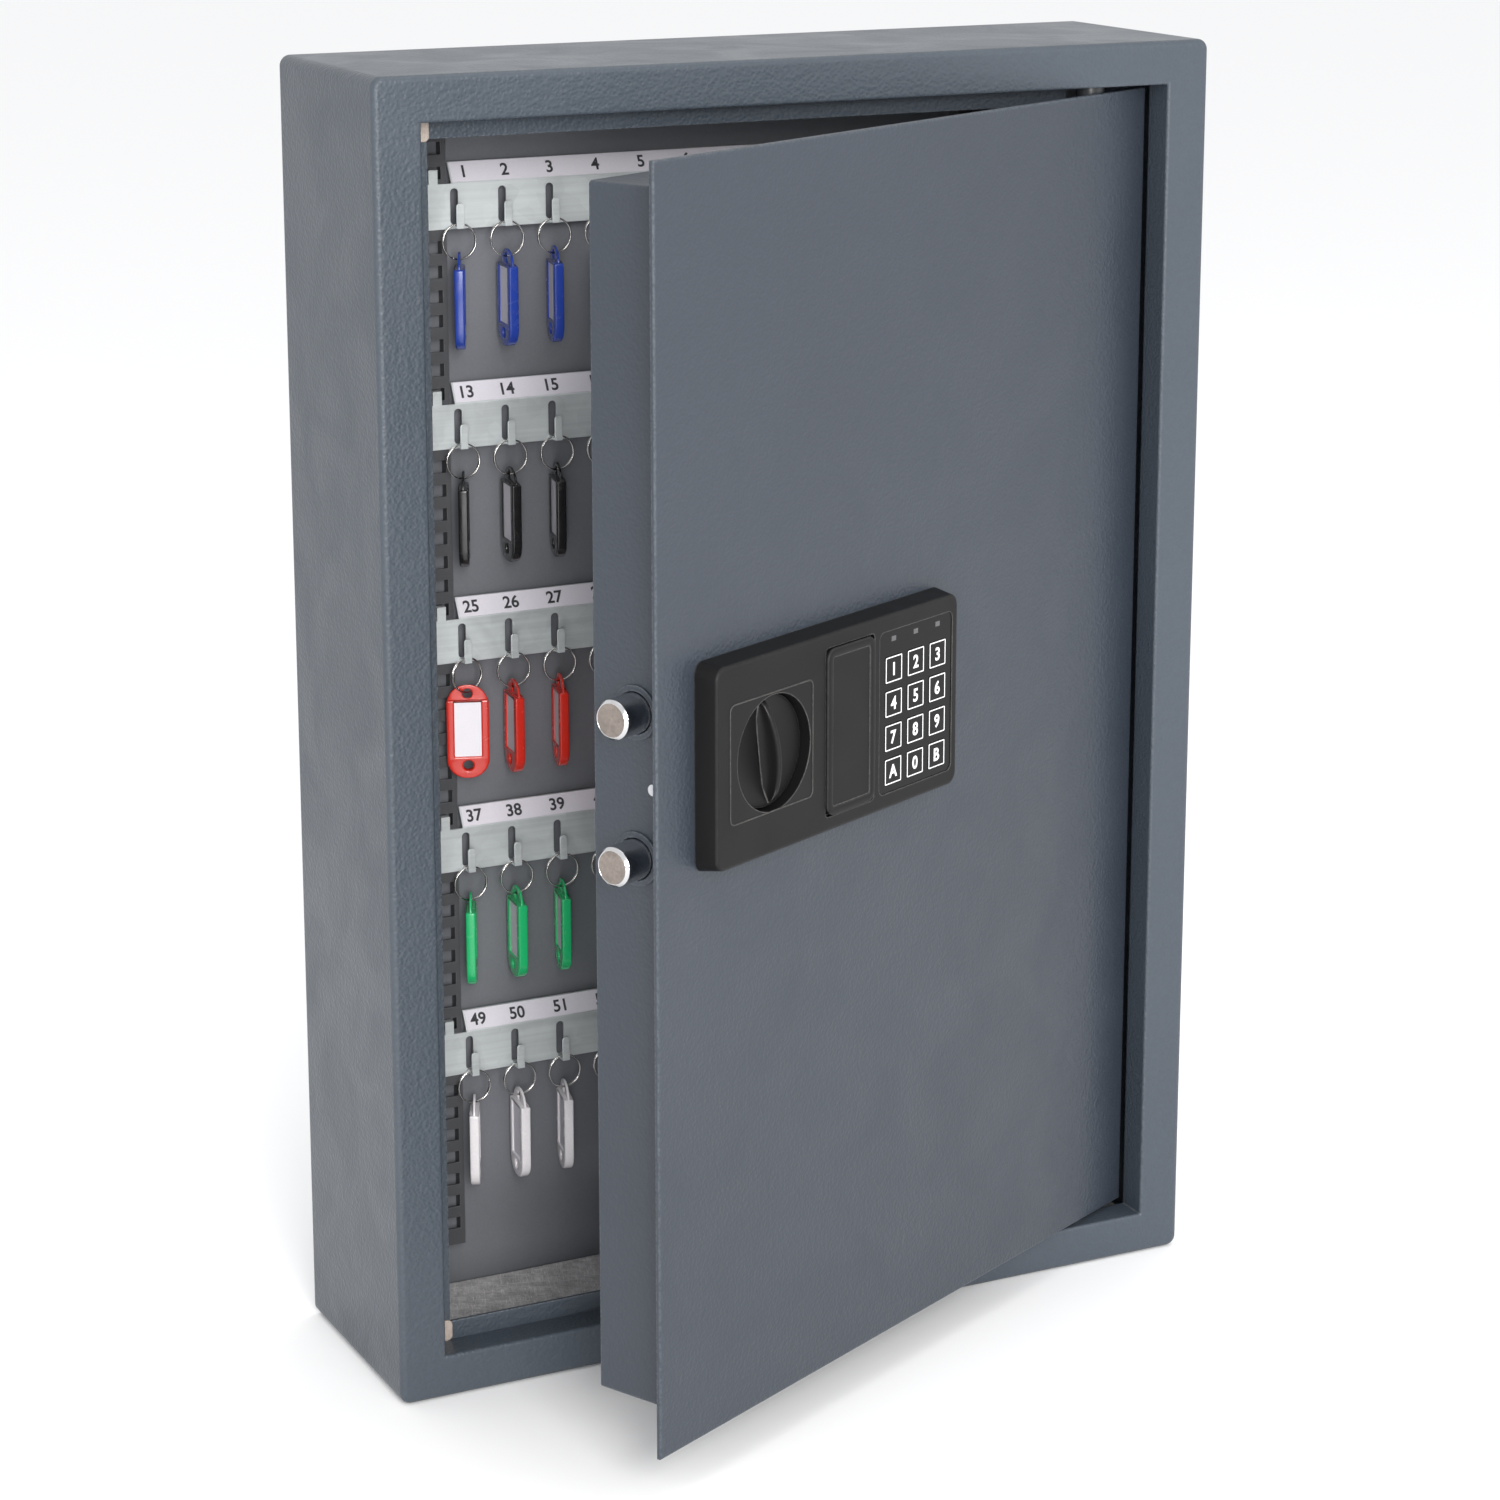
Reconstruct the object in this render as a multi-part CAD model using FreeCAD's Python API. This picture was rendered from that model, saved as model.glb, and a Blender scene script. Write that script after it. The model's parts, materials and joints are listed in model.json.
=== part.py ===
import FreeCAD, Part
import math
import os

os.makedirs("parts", exist_ok=True)

Vector = FreeCAD.Vector

# Wall-hung steel key cabinet. Millimetres, +Z up, +X to the right, the front faces -Y and the back
# face lies on y = 0. The origin is the middle of the wall-fixing holes on that back face.
# Door pieces are modelled with the door shut, then turned about the hinge line to door_open_angle.

# ---- cabinet body ----
cabinet_width = 380.0
cabinet_height = 550.0
cabinet_depth = 105.0
body_sheet = 1.5
body_corner_radius = 4.5
front_bend_radius = 2.5
opening_edge_radius = 1.2
flange_side = 20.0
flange_end = 18.5
return_depth = 15.0
stop_width = 8.0
stop_sheet = 1.5
stop_hidden_width = 7.0
stop_pivot_gap = 3.0
corner_pad_width = 8.55
corner_pad_height = 9.0
corner_pad_radius = 2.2
corner_pad_thickness = 1.0
fixing_hole_diameter = 8.0
fixing_spacing_x = 90.0
fixing_spacing_z = 360.0
felt_thickness = 3.5
felt_gap = 3.0

# ---- hinge ----
door_open_angle = 26.0
pivot_from_edge = 30.0
pivot_depth = 9.0
pin_diameter = 6.0
pin_clearance = 0.2
pin_collar_diameter = 12.0
pin_collar_height = 3.0
bush_sleeve_diameter = 8.8
bush_collar_diameter = 12.0
bush_end_gap = 0.3
bracket_thickness = 3.0
bracket_width = 26.0
bracket_reach = 8.0
pin_end_reach = 1.0

# ---- door ----
door_gap = 2.5
door_set_back = 1.5
door_plate_thickness = 2.0
door_edge_radius = 0.8
tray_inset_side = 17.0
tray_inset_end = 12.0
tray_depth = 42.5
tray_sheet = 1.2
tray_corner_radius = 1.6
tray_lip = 14.0
cover_sheet = 1.0
cover_inset = 3.0
cover_corner_radius = 2.0
screw_diameter = 4.0
screw_head_diameter = 7.5
screw_head_height = 2.0
screw_length = 5.0
screw_head_radius = 0.7
screw_slot_width = 0.8
screw_slot_length = 4.0

# ---- slotted rails and hook bars ----
rail_width = 12.0
rail_depth = 7.5
rail_sheet = 1.2
rail_wall_gap = 54.5
rail_top_gap = 8.0
rail_bottom_gap = 22.0
slot_pitch = 10.35
slot_width = 7.6
slot_height = 5.4
slot_end_margin = 2.0
row_count = 5
first_row_from_top = 55.2
last_row_clearance = 72.0
bar_plate_height = 19.0
bar_sheet = 1.0
bar_end_overlap = 9.0
bar_fold_depth = 3.0
bar_slant_rise = 8.6
bar_slant_back = 4.5
bar_rail_gap = 2.0
strip_thickness = 0.4
strip_end_gap = 0.5
strip_start = 0.06
strip_end = 0.98
hook_pitch = 21.6
hook_end_margin = 2.0
hook_width = 3.2
hook_reach = 6.0
hook_rise = 9.6
hook_seat_rise = 0.9
hook_slot_clearance = 0.2
hook_slot_top_gap = 2.0
lug_width = 4.0
lug_height = 2.8
lug_rise = 4.6
lug_fold_gap = 0.2

# ---- key rings and tags ----
ring_outer_diameter = 16.0
ring_wire = 1.2
ring_hook_gap = 0.25
ring_front_gap = 0.8
tag_width = 18.2
tag_height = 41.0
tag_thickness = 4.2
tag_corner_radius = 8.4
tag_lug_thickness = 1.0
tag_lug_height = 6.4
tag_hole_diameter = 4.4
tag_hole_rim = 1.6
tag_low_hole_from_end = 5.6
tag_window_width = 11.4
tag_window_height = 24.4
tag_window_gap = 0.6
tag_window_depth = 0.4
ring_tag_gap = 0.9
tag_yaws = (-24.0, -6.0, -12.0, -26.0, -15.0, -3.0, -20.0, 8.0, -10.0, -28.0, 4.0, -17.0)
turned_row = 3
turned_tag_yaw = 70.0
turned_ring_yaw = 12.0

# ---- lock panel on the door's front ----
panel_width = 162.0
panel_height = 83.0
panel_thickness = 10.0
panel_from_free_edge = 22.5
panel_centre_z = 21.5
panel_corner_radius = 5.0
panel_draft = 1.5
panel_edge_radius = 1.2
knob_from_panel_edge = 37.0
knob_recess_diameter = 46.4
knob_recess_floor = 3.0
knob_side_clearance = 0.6
knob_floor_clearance = 0.4
knob_disc_thickness = 2.2
knob_fin_thickness = 2.8
knob_fin_height = 7.0
knob_fin_tilt = 8.0
knob_fin_inset = 1.2
knob_fin_sink = 0.1
knob_edge_radius = 0.6
spindle_diameter = 8.0
spindle_clearance = 0.3
cover_plate_width = 32.0
cover_plate_height = 68.0
cover_plate_from_knob = 49.5
cover_plate_thickness = 3.2
cover_plate_proud = 1.0
cover_plate_gap = 0.3
cover_plate_radius = 1.8
cover_plate_edge_radius = 0.5
pocket_floor_clearance = 0.2
cover_pocket_radius = 2.0
keypad_width = 50.5
keypad_height = 67.0
keypad_from_cover = 45.0
keypad_drop = 0.3
keypad_recess = 0.4
keypad_thickness = 2.0
keypad_corner_radius = 3.0
key_width = 11.6
key_height = 11.0
key_thickness = 1.5
key_pitch_x = 15.25
key_pitch_z = 14.1
key_top_from_edge = 16.1
key_gap = 0.2
key_proud = 0.15
key_corner_radius = 0.6
light_width = 3.0
light_height = 2.0
light_from_edge = 3.6
light_thickness = 1.6
electronics_bay_margin = 3.5
electronics_bay_floor = 2.6
cable_hole_diameter = 14.0

# ---- bolt work ----
bolt_diameter = 16.0
bolt_spacing = 58.0
bolt_drop = 9.5
bolt_stop_gap = 1.0
bolt_engagement = 3.5
bolt_chamfer = 1.2
bolt_rear_length = 22.5
bush_clearance = 0.25
bush_wall = 1.35
bush_flange = 2.6
bush_flange_thickness = 1.0
bush_length = 7.5
carriage_sheet = 2.0
carriage_web = 3.0
carriage_height = 78.0
carriage_length = 38.0
carriage_pin_stub = 1.0
bolt_throw = 13.0
knob_turn = 75.0
crank_pin_diameter = 5.0
crank_slot_clearance = 0.35
crank_slot_end_gap = 0.3
crank_disc_diameter = 30.0
crank_disc_thickness = 2.5
disc_plate_gap = 4.0
carriage_disc_gap = 3.5
guide_stud_diameter = 5.0
guide_head_diameter = 9.0
guide_head_height = 1.5
guide_clearance = 0.3
guide_from_end = 8.0
guide_from_edge = 6.0
rivet_diameter = 3.2
rivet_head_diameter = 4.6
rivet_head_height = 1.2
rivet_depth = 15.0

# ---- blocking solenoid ----
solenoid_width = 20.0
solenoid_height = 30.0
solenoid_lift = 11.0
solenoid_corner_radius = 1.5
solenoid_wall = 2.0
plunger_diameter = 6.0
plunger_clearance = 0.3
plunger_tab_gap = 1.0
plunger_length = 28.0
tab_width = 4.0
tab_height = 5.0
tab_from_web = 12.0

# ---- emergency lock, board and batteries ----
cylinder_diameter = 16.0
cylinder_front_gap = 0.5
cylinder_flange_diameter = 22.0
cylinder_flange_thickness = 1.6
cylinder_length = 30.0
plug_diameter = 10.0
plug_clearance = 0.2
keyway_width = 1.6
keyway_height = 7.0
keyway_depth = 12.0
tail_length = 14.0
tail_width = 8.0
tail_thickness = 2.0
tail_gap = 0.3
board_width = 46.0
board_height = 60.0
board_thickness = 1.6
board_standoff = 4.0
standoff_diameter = 6.0
standoff_inset = 5.0
battery_diameter = 14.2
battery_length = 50.0
battery_count = 4
battery_gap = 0.6
battery_wall = 1.6
battery_box_x = 45.0
battery_box_z = -95.0
lid_overlap = 3.0
lid_thickness = 1.4
lid_corner_radius = 2.0


# ---- helpers ----
def box(x0, x1, y0, y1, z0, z1):
    return Part.makeBox(x1 - x0, y1 - y0, z1 - z0, Vector(x0, y0, z0))


def rod_x(x0, x1, y, z, diameter):
    return Part.makeCylinder(diameter / 2, x1 - x0, Vector(x0, y, z), Vector(1, 0, 0))


def rod_y(x, y0, y1, z, diameter):
    return Part.makeCylinder(diameter / 2, y1 - y0, Vector(x, y0, z), Vector(0, 1, 0))


def rod_z(x, y, z0, z1, diameter):
    return Part.makeCylinder(diameter / 2, z1 - z0, Vector(x, y, z0), Vector(0, 0, 1))


def rounded_outline(x0, x1, z0, z1, radius, y):
    """A closed rectangle with round corners, in the plane at this y."""
    k = radius * (1 - math.sqrt(0.5))
    corners = ((x0, z0, 1, 1), (x1, z0, -1, 1), (x1, z1, -1, -1), (x0, z1, 1, -1))
    arcs = []
    for x, z, sx, sz in corners:
        along_z = Vector(x, y, z + sz * radius)
        middle = Vector(x + sx * k, y, z + sz * k)
        along_x = Vector(x + sx * radius, y, z)
        ends = (along_z, along_x) if sx * sz > 0 else (along_x, along_z)
        arcs.append(Part.Arc(ends[0], middle, ends[1]).toShape())
    edges = []
    for arc, following in zip(arcs, arcs[1:] + arcs[:1]):
        edges.append(arc)
        edges.append(Part.makeLine(arc.Vertexes[-1].Point, following.Vertexes[0].Point))
    return Part.Wire(Part.__sortEdges__(edges))


def slab(x0, x1, z0, z1, radius, y0, y1):
    """A plate in the x-z plane with round corners, from y0 to y1."""
    face = Part.Face(rounded_outline(x0, x1, z0, z1, radius, y0))
    return face.extrude(Vector(0, y1 - y0, 0))


def profile_along_x(points, x0, x1):
    """A y-z outline swept from x0 to x1."""
    wire = Part.makePolygon([Vector(x0, y, z) for y, z in points + points[:1]])
    return Part.Face(wire).extrude(Vector(x1 - x0, 0, 0))


def fuse(pieces):
    whole = pieces[0].fuse(pieces[1:]) if len(pieces) > 1 else pieces[0]
    return whole.removeSplitter()


def group(pieces):
    return Part.makeCompound(pieces)


def mirror_z(shape):
    return shape.mirror(Vector(0, 0, 0), Vector(0, 0, 1))


def edges_at_y(shape, y, tolerance=0.01):
    """The edges that lie wholly in the plane at this y."""
    found = []
    for edge in shape.Edges:
        bounds = edge.BoundBox
        if abs(bounds.YMin - y) < tolerance and abs(bounds.YMax - y) < tolerance:
            found.append(edge)
    return found


def save(name, shape):
    shape.exportStep("parts/" + name + ".step")


# ---- derived places ----
half_width = cabinet_width / 2
half_height = cabinet_height / 2
front = -cabinet_depth
inside_half_width = half_width - body_sheet
inside_half_height = half_height - body_sheet
opening_half_width = half_width - flange_side
opening_half_height = half_height - flange_end
stop_front = front + return_depth
stop_back = stop_front + stop_sheet

plate_half_width = opening_half_width - door_gap
plate_half_height = opening_half_height - door_gap
plate_front = front + door_set_back
plate_back = plate_front + door_plate_thickness
tray_half_width = plate_half_width - tray_inset_side
tray_half_height = plate_half_height - tray_inset_end
tray_back = plate_back + tray_depth
cover_back = tray_back + cover_sheet
pivot_x = plate_half_width - pivot_from_edge
pivot_y = plate_front + pivot_depth
stop_end_x = pivot_x - bush_collar_diameter / 2 - stop_pivot_gap

panel_left = -plate_half_width + panel_from_free_edge
panel_right = panel_left + panel_width
panel_front = plate_front - panel_thickness
panel_low = panel_centre_z - panel_height / 2
panel_high = panel_centre_z + panel_height / 2
knob_x = panel_left + knob_from_panel_edge
knob_z = panel_centre_z
recess_floor = plate_front - knob_recess_floor
cover_plate_x = knob_x + cover_plate_from_knob
keypad_x = cover_plate_x + keypad_from_cover
keypad_z = panel_centre_z - keypad_drop
keypad_high = keypad_z + keypad_height / 2
keypad_front = panel_front + keypad_recess
keypad_back = keypad_front + keypad_thickness
cover_pocket_floor = panel_front - cover_plate_proud + cover_plate_thickness + pocket_floor_clearance

bolt_y = stop_back + bolt_stop_gap + bolt_diameter / 2
bolt_centre_z = panel_centre_z - bolt_drop
bolt_tip = -opening_half_width + stop_width - bolt_engagement
web_left = -tray_half_width + bolt_rear_length
carriage_right = web_left + carriage_length
disc_front = plate_back + disc_plate_gap
disc_back = disc_front + crank_disc_thickness
carriage_front = disc_back + carriage_disc_gap
carriage_back = carriage_front + carriage_sheet
half_turn = math.radians(knob_turn / 2)
crank_radius = bolt_throw / (2 * math.sin(half_turn))
crank_x = knob_x - bolt_throw / 2
crank_z = knob_z + crank_radius * math.cos(half_turn)
carriage_low = bolt_centre_z - carriage_height / 2
carriage_high = bolt_centre_z + carriage_height / 2
guide_x = carriage_right - guide_from_end
tab_left = web_left + tab_from_web
plunger_x = tab_left + tab_width + plunger_tab_gap + plunger_diameter / 2
plunger_y = (carriage_front + carriage_back) / 2
plunger_low = carriage_high + tab_height + plunger_tab_gap
solenoid_low = carriage_high + solenoid_lift

rail_outer = inside_half_width - rail_wall_gap
rail_inner = rail_outer - rail_width
rail_front = -body_sheet - rail_depth
rail_low = -inside_half_height + rail_bottom_gap
rail_high = inside_half_height - rail_top_gap
bar_front = rail_front - bar_sheet
bar_half_length = rail_inner + bar_end_overlap
flange_half_length = rail_inner - bar_rail_gap
first_bar_low = inside_half_height - first_row_from_top - bar_plate_height + body_sheet
row_reach = first_bar_low + inside_half_height - last_row_clearance + slot_pitch
slots_per_row = int(row_reach / ((row_count - 1) * slot_pitch))
row_pitch = slots_per_row * slot_pitch
bar_lows = [first_bar_low - row * row_pitch for row in range(row_count)]
hook_count = int((2 * rail_inner - 2 * hook_end_margin) / hook_pitch) + 1
hook_xs = [(i - (hook_count - 1) / 2) * hook_pitch for i in range(hook_count)]
hook_seat = bar_sheet + hook_seat_rise
ring_y = bar_front - hook_reach + ring_front_gap + ring_wire / 2
ring_radius = (ring_outer_diameter - ring_wire) / 2
lug_z = bar_plate_height + lug_rise


def turn_door(shape):
    """Takes a piece from the shut door to where it stands with the door open."""
    turned = shape.copy()
    turned.rotate(Vector(pivot_x, pivot_y, 0), Vector(0, 0, 1), door_open_angle)
    return turned


def save_on_door(name, shape):
    save(name, turn_door(shape))


# ---- cabinet body ----
def cabinet_shell():
    outer = slab(-half_width, half_width, -half_height, half_height, body_corner_radius, front, 0)
    outer = outer.makeFillet(front_bend_radius, edges_at_y(outer, front))
    cavity = slab(-inside_half_width, inside_half_width, -inside_half_height, inside_half_height,
                  body_corner_radius - body_sheet, front + body_sheet, 1)
    opening = box(-opening_half_width, opening_half_width, front - 1, stop_back + 1,
                  -opening_half_height, opening_half_height)
    ring_width = opening_half_width + body_sheet
    ring_height = opening_half_height + body_sheet
    ring = box(-ring_width, ring_width, front + body_sheet, stop_front, -ring_height, ring_height)
    shell = outer.cut(cavity).fuse(ring).cut(opening)
    opening_edges = []
    for edge in edges_at_y(shell, front):
        bounds = edge.BoundBox
        if abs(bounds.XMin) < opening_half_width + 0.1 and abs(bounds.ZMin) < opening_half_height + 0.1:
            opening_edges.append(edge)
    shell = shell.makeFillet(opening_edge_radius, opening_edges)
    bush_holes = rod_z(pivot_x, pivot_y, -ring_height - 1, ring_height + 1, bush_sleeve_diameter)
    return shell.cut(bush_holes).removeSplitter()


def back_panel():
    panel = slab(-inside_half_width, inside_half_width, -inside_half_height, inside_half_height,
                 body_corner_radius, -body_sheet, 0)
    for sx in (-1, 1):
        for sz in (-1, 1):
            x = sx * fixing_spacing_x / 2
            z = sz * fixing_spacing_z / 2
            panel = panel.cut(rod_y(x, -body_sheet - 1, 1, z, fixing_hole_diameter))
    return panel


def door_stop_frame():
    wide = opening_half_width + stop_hidden_width
    high = opening_half_height + stop_hidden_width
    frame = box(-wide, stop_end_x, stop_front, stop_back, -high, high)
    inner = box(-opening_half_width + stop_width, stop_end_x + 1, stop_front - 1, stop_back + 1,
                -opening_half_height + stop_width, opening_half_height - stop_width)
    return frame.cut(inner)


def corner_pads():
    pads = []
    for side in (-1, 1):
        left = -opening_half_width
        far = side * opening_half_height
        near = side * (opening_half_height - corner_pad_height)
        pad = slab(left, left + corner_pad_width, min(near, far), max(near, far), corner_pad_radius,
                   stop_front - corner_pad_thickness, stop_front)
        pads.append(pad)
    return group(pads)


def hinge_brackets():
    low = opening_half_height + body_sheet
    plate = box(stop_end_x, stop_end_x + bracket_width, front + body_sheet, stop_front + bracket_reach,
                low, low + bracket_thickness)
    plate = plate.cut(rod_z(pivot_x, pivot_y, low - 1, low + bracket_thickness + 1, bush_sleeve_diameter))
    return group([plate, mirror_z(plate)])


def hinge_bushes():
    face = opening_half_height
    sleeve = rod_z(pivot_x, pivot_y, face, face + body_sheet + bracket_thickness, bush_sleeve_diameter)
    collar = rod_z(pivot_x, pivot_y, tray_half_height + bush_end_gap, face, bush_collar_diameter)
    bore = rod_z(pivot_x, pivot_y, tray_half_height - 1, face + 20, pin_diameter + 2 * pin_clearance)
    bush = fuse([sleeve, collar]).cut(bore)
    return group([bush, mirror_z(bush)])


def slotted_rail():
    web_back = rail_front + rail_sheet
    web = box(rail_inner, rail_outer, rail_front, web_back, rail_low, rail_high)
    inner_leg = box(rail_inner, rail_inner + rail_sheet, rail_front, -body_sheet, rail_low, rail_high)
    outer_leg = box(rail_outer - rail_sheet, rail_outer, rail_front, -body_sheet, rail_low, rail_high)
    rail = fuse([web, inner_leg, outer_leg])
    middle = (rail_inner + rail_outer) / 2
    slot_z = first_bar_low + lug_z
    slots = []
    while slot_z - slot_height / 2 - slot_end_margin > rail_low:
        slot_z -= slot_pitch
    slot_z += slot_pitch
    while slot_z + slot_height / 2 + slot_end_margin < rail_high:
        slots.append(box(middle - slot_width / 2, middle + slot_width / 2, rail_front - 1, web_back + 0.01,
                         slot_z - slot_height / 2, slot_z + slot_height / 2))
        slot_z += slot_pitch
    return rail.cut(slots)


def slotted_rails():
    right = slotted_rail()
    return group([right, right.mirror(Vector(0, 0, 0), Vector(1, 0, 0))])


def hook_bar(low):
    high = low + bar_plate_height
    plate = box(-bar_half_length, bar_half_length, bar_front, rail_front, low, high)
    fold = box(-flange_half_length, flange_half_length, bar_front, rail_front + bar_fold_depth, low,
               low + bar_sheet)
    slant = profile_along_x([
        (bar_front, high),
        (rail_front, high),
        (rail_front + bar_slant_back, high + bar_slant_rise),
        (bar_front + bar_slant_back, high + bar_slant_rise),
    ], -flange_half_length, flange_half_length)
    pieces = [plate, fold, slant]
    middle = (rail_inner + rail_outer) / 2
    lug_low = low + lug_z - lug_height / 2
    for side in (-1, 1):
        x0 = side * middle - lug_width / 2
        x1 = side * middle + lug_width / 2
        tongue_back = rail_front + rail_sheet + lug_fold_gap + bar_sheet
        pieces.append(box(x0, x1, bar_front, rail_front, high, lug_low + lug_height))
        pieces.append(box(x0, x1, bar_front, tongue_back, lug_low + lug_height - bar_sheet,
                          lug_low + lug_height))
        pieces.append(box(x0, x1, tongue_back - bar_sheet, tongue_back, lug_low, lug_low + lug_height))
    bar = fuse(pieces)
    windows = []
    hooks = []
    window_half = hook_width / 2 + hook_slot_clearance
    window_low = low + hook_seat
    window_high = high - hook_slot_top_gap
    hook_face = bar_front - hook_reach
    for x in hook_xs:
        windows.append(slab(x - window_half, x + window_half, window_low, window_high, window_half - 0.05,
                            bar_front - 1, rail_front + 0.6))
        seat = box(x - hook_width / 2, x + hook_width / 2, hook_face - bar_sheet, bar_front + 0.2,
                   window_low - bar_sheet, window_low)
        upright = slab(x - hook_width / 2, x + hook_width / 2, window_low - bar_sheet, window_low + hook_rise,
                       hook_width / 2 - 0.2, hook_face - bar_sheet, hook_face)
        hooks.append(seat)
        below = box(x - hook_width, x + hook_width, hook_face - hook_width, hook_face + hook_width,
                    window_low - hook_width - bar_sheet, window_low - bar_sheet)
        hooks.append(upright.cut(below))
    return bar.cut(windows).fuse(hooks).removeSplitter()


def number_strips():
    strips = []
    length = math.hypot(bar_slant_back, bar_slant_rise)
    out_y = -strip_thickness * bar_slant_rise / length
    out_z = strip_thickness * bar_slant_back / length
    for low in bar_lows:
        high = low + bar_plate_height
        y0 = bar_front + strip_start * bar_slant_back
        z0 = high + strip_start * bar_slant_rise
        y1 = bar_front + strip_end * bar_slant_back
        z1 = high + strip_end * bar_slant_rise
        strips.append(profile_along_x([(y0, z0), (y1, z1), (y1 + out_y, z1 + out_z),
                                       (y0 + out_y, z0 + out_z)],
                                      -flange_half_length + strip_end_gap,
                                      flange_half_length - strip_end_gap))
    return group(strips)


def felt_mat():
    low = -inside_half_height
    return box(-inside_half_width + felt_gap, inside_half_width - felt_gap, front + body_sheet + felt_gap,
               -body_sheet - felt_gap, low, low + felt_thickness)


# ---- keys ----
def ring_centre_z(low):
    return low + hook_seat + ring_hook_gap + ring_wire / 2 - ring_radius


def yaw_of(row, index):
    if row == turned_row and index == 0:
        return turned_tag_yaw, turned_ring_yaw
    shift = 5 * (row - 1) if index > 3 else 0
    tag_yaw = tag_yaws[(index + shift) % len(tag_yaws)]
    if index == 0:
        return -abs(tag_yaw), 0.0
    if index == hook_count - 1:
        return abs(tag_yaw), 0.0
    return tag_yaw, 0.0


def key_rings(row, low):
    rings = []
    for index, x in enumerate(hook_xs):
        ring = Part.makeTorus(ring_radius, ring_wire / 2, Vector(x, ring_y, ring_centre_z(low)),
                              Vector(0, 1, 0))
        ring.rotate(Vector(x, ring_y, 0), Vector(0, 0, 1), yaw_of(row, index)[1])
        rings.append(ring)
    return group(rings)


def key_tag():
    """One tag, its face in the y-z plane, its ring hole at the origin."""
    top = tag_hole_diameter / 2 + tag_hole_rim
    bottom = top - tag_height
    half = tag_width / 2
    tag = slab(-half, half, bottom, top, tag_corner_radius, -tag_thickness / 2, tag_thickness / 2)
    for side in (-1, 1):
        faces = sorted((side * tag_lug_thickness / 2, side * tag_thickness))
        tag = tag.cut(box(-half - 1, half + 1, faces[0], faces[1], top - tag_lug_height, top + 1))
        window_top = top - tag_lug_height - tag_window_gap
        floors = sorted((side * (tag_thickness / 2 - tag_window_depth), side * tag_thickness))
        tag = tag.cut(box(-tag_window_width / 2, tag_window_width / 2, floors[0], floors[1],
                          window_top - tag_window_height, window_top))
    tag = tag.cut(rod_y(0, -tag_thickness, tag_thickness, 0, tag_hole_diameter))
    tag = tag.cut(rod_y(0, -tag_thickness, tag_thickness, bottom + tag_low_hole_from_end, tag_hole_diameter))
    tag.rotate(Vector(0, 0, 0), Vector(0, 0, 1), 90)
    return tag


def key_tags(row, low, tag):
    tags = []
    hole_z = ring_centre_z(low) - ring_radius - (tag_hole_diameter / 2 - ring_wire / 2 - ring_tag_gap)
    for index, x in enumerate(hook_xs):
        piece = tag.copy()
        piece.rotate(Vector(0, 0, 0), Vector(0, 0, 1), yaw_of(row, index)[0])
        piece.translate(Vector(x, ring_y, hole_z))
        tags.append(piece)
    return group(tags)


# ---- door ----
def door_plate():
    plate = box(-plate_half_width, plate_half_width, plate_front, plate_back, -plate_half_height,
                plate_half_height)
    plate = plate.makeFillet(door_edge_radius, edges_at_y(plate, plate_front))
    holes = [
        rod_y(knob_x, plate_front - 1, plate_back + 1, knob_z, spindle_diameter + 2 * spindle_clearance),
        rod_y(cover_plate_x, plate_front - 1, plate_back + 1, panel_centre_z, cylinder_diameter),
        rod_y(keypad_x, plate_front - 1, plate_back + 1, keypad_z, cable_hole_diameter),
    ]
    return plate.cut(holes)


def door_tray():
    outer = slab(-tray_half_width, tray_half_width, -tray_half_height, tray_half_height, tray_corner_radius,
                 plate_back, tray_back)
    cavity = slab(-tray_half_width + tray_sheet, tray_half_width - tray_sheet, -tray_half_height + tray_sheet,
                  tray_half_height - tray_sheet, tray_corner_radius - tray_sheet, plate_back - 1,
                  tray_back - tray_sheet)
    mouth = box(-tray_half_width + tray_lip, tray_half_width - tray_lip, plate_back, tray_back + 1,
                -tray_half_height + tray_lip, tray_half_height - tray_lip)
    tray = outer.cut([cavity, mouth])
    for z in bolt_zs():
        tray = tray.cut(rod_x(-tray_half_width - 1, -tray_half_width + tray_sheet + 1, bolt_y, z,
                              bush_outer()))
    tray = tray.cut(rod_z(pivot_x, pivot_y, -tray_half_height - 1, tray_half_height + 1, pin_diameter))
    tray = tray.cut(rod_x(-tray_half_width - 1, -tray_half_width + tray_sheet + 1, plate_front + rivet_depth,
                          bolt_centre_z, rivet_diameter))
    return tray.cut([rod_y(x, tray_back - 2, tray_back + 1, z, screw_diameter) for x, z in screw_places()])


def screw_places():
    x = tray_half_width - tray_lip / 2 - 1
    z = tray_half_height - tray_lip / 2 - 1
    return [(sx * x, sz * z) for sx in (-1, 1) for sz in (-1, 1)]


def battery_box_size():
    """The inside width and height of the battery box."""
    width = battery_count * battery_diameter + (battery_count + 1) * battery_gap
    return width, battery_length + 2 * battery_gap


def door_back_cover():
    cover = slab(-tray_half_width + cover_inset, tray_half_width - cover_inset,
                 -tray_half_height + cover_inset,
                 tray_half_height - cover_inset, cover_corner_radius, tray_back, cover_back)
    width, height = battery_box_size()
    mouth = box(battery_box_x - width / 2, battery_box_x + width / 2, tray_back - 1, cover_back + 1,
                battery_box_z - height / 2, battery_box_z + height / 2)
    holes = [rod_y(x, tray_back - 1, cover_back + 1, z, screw_diameter) for x, z in screw_places()]
    return cover.cut(holes + [mouth])


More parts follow.
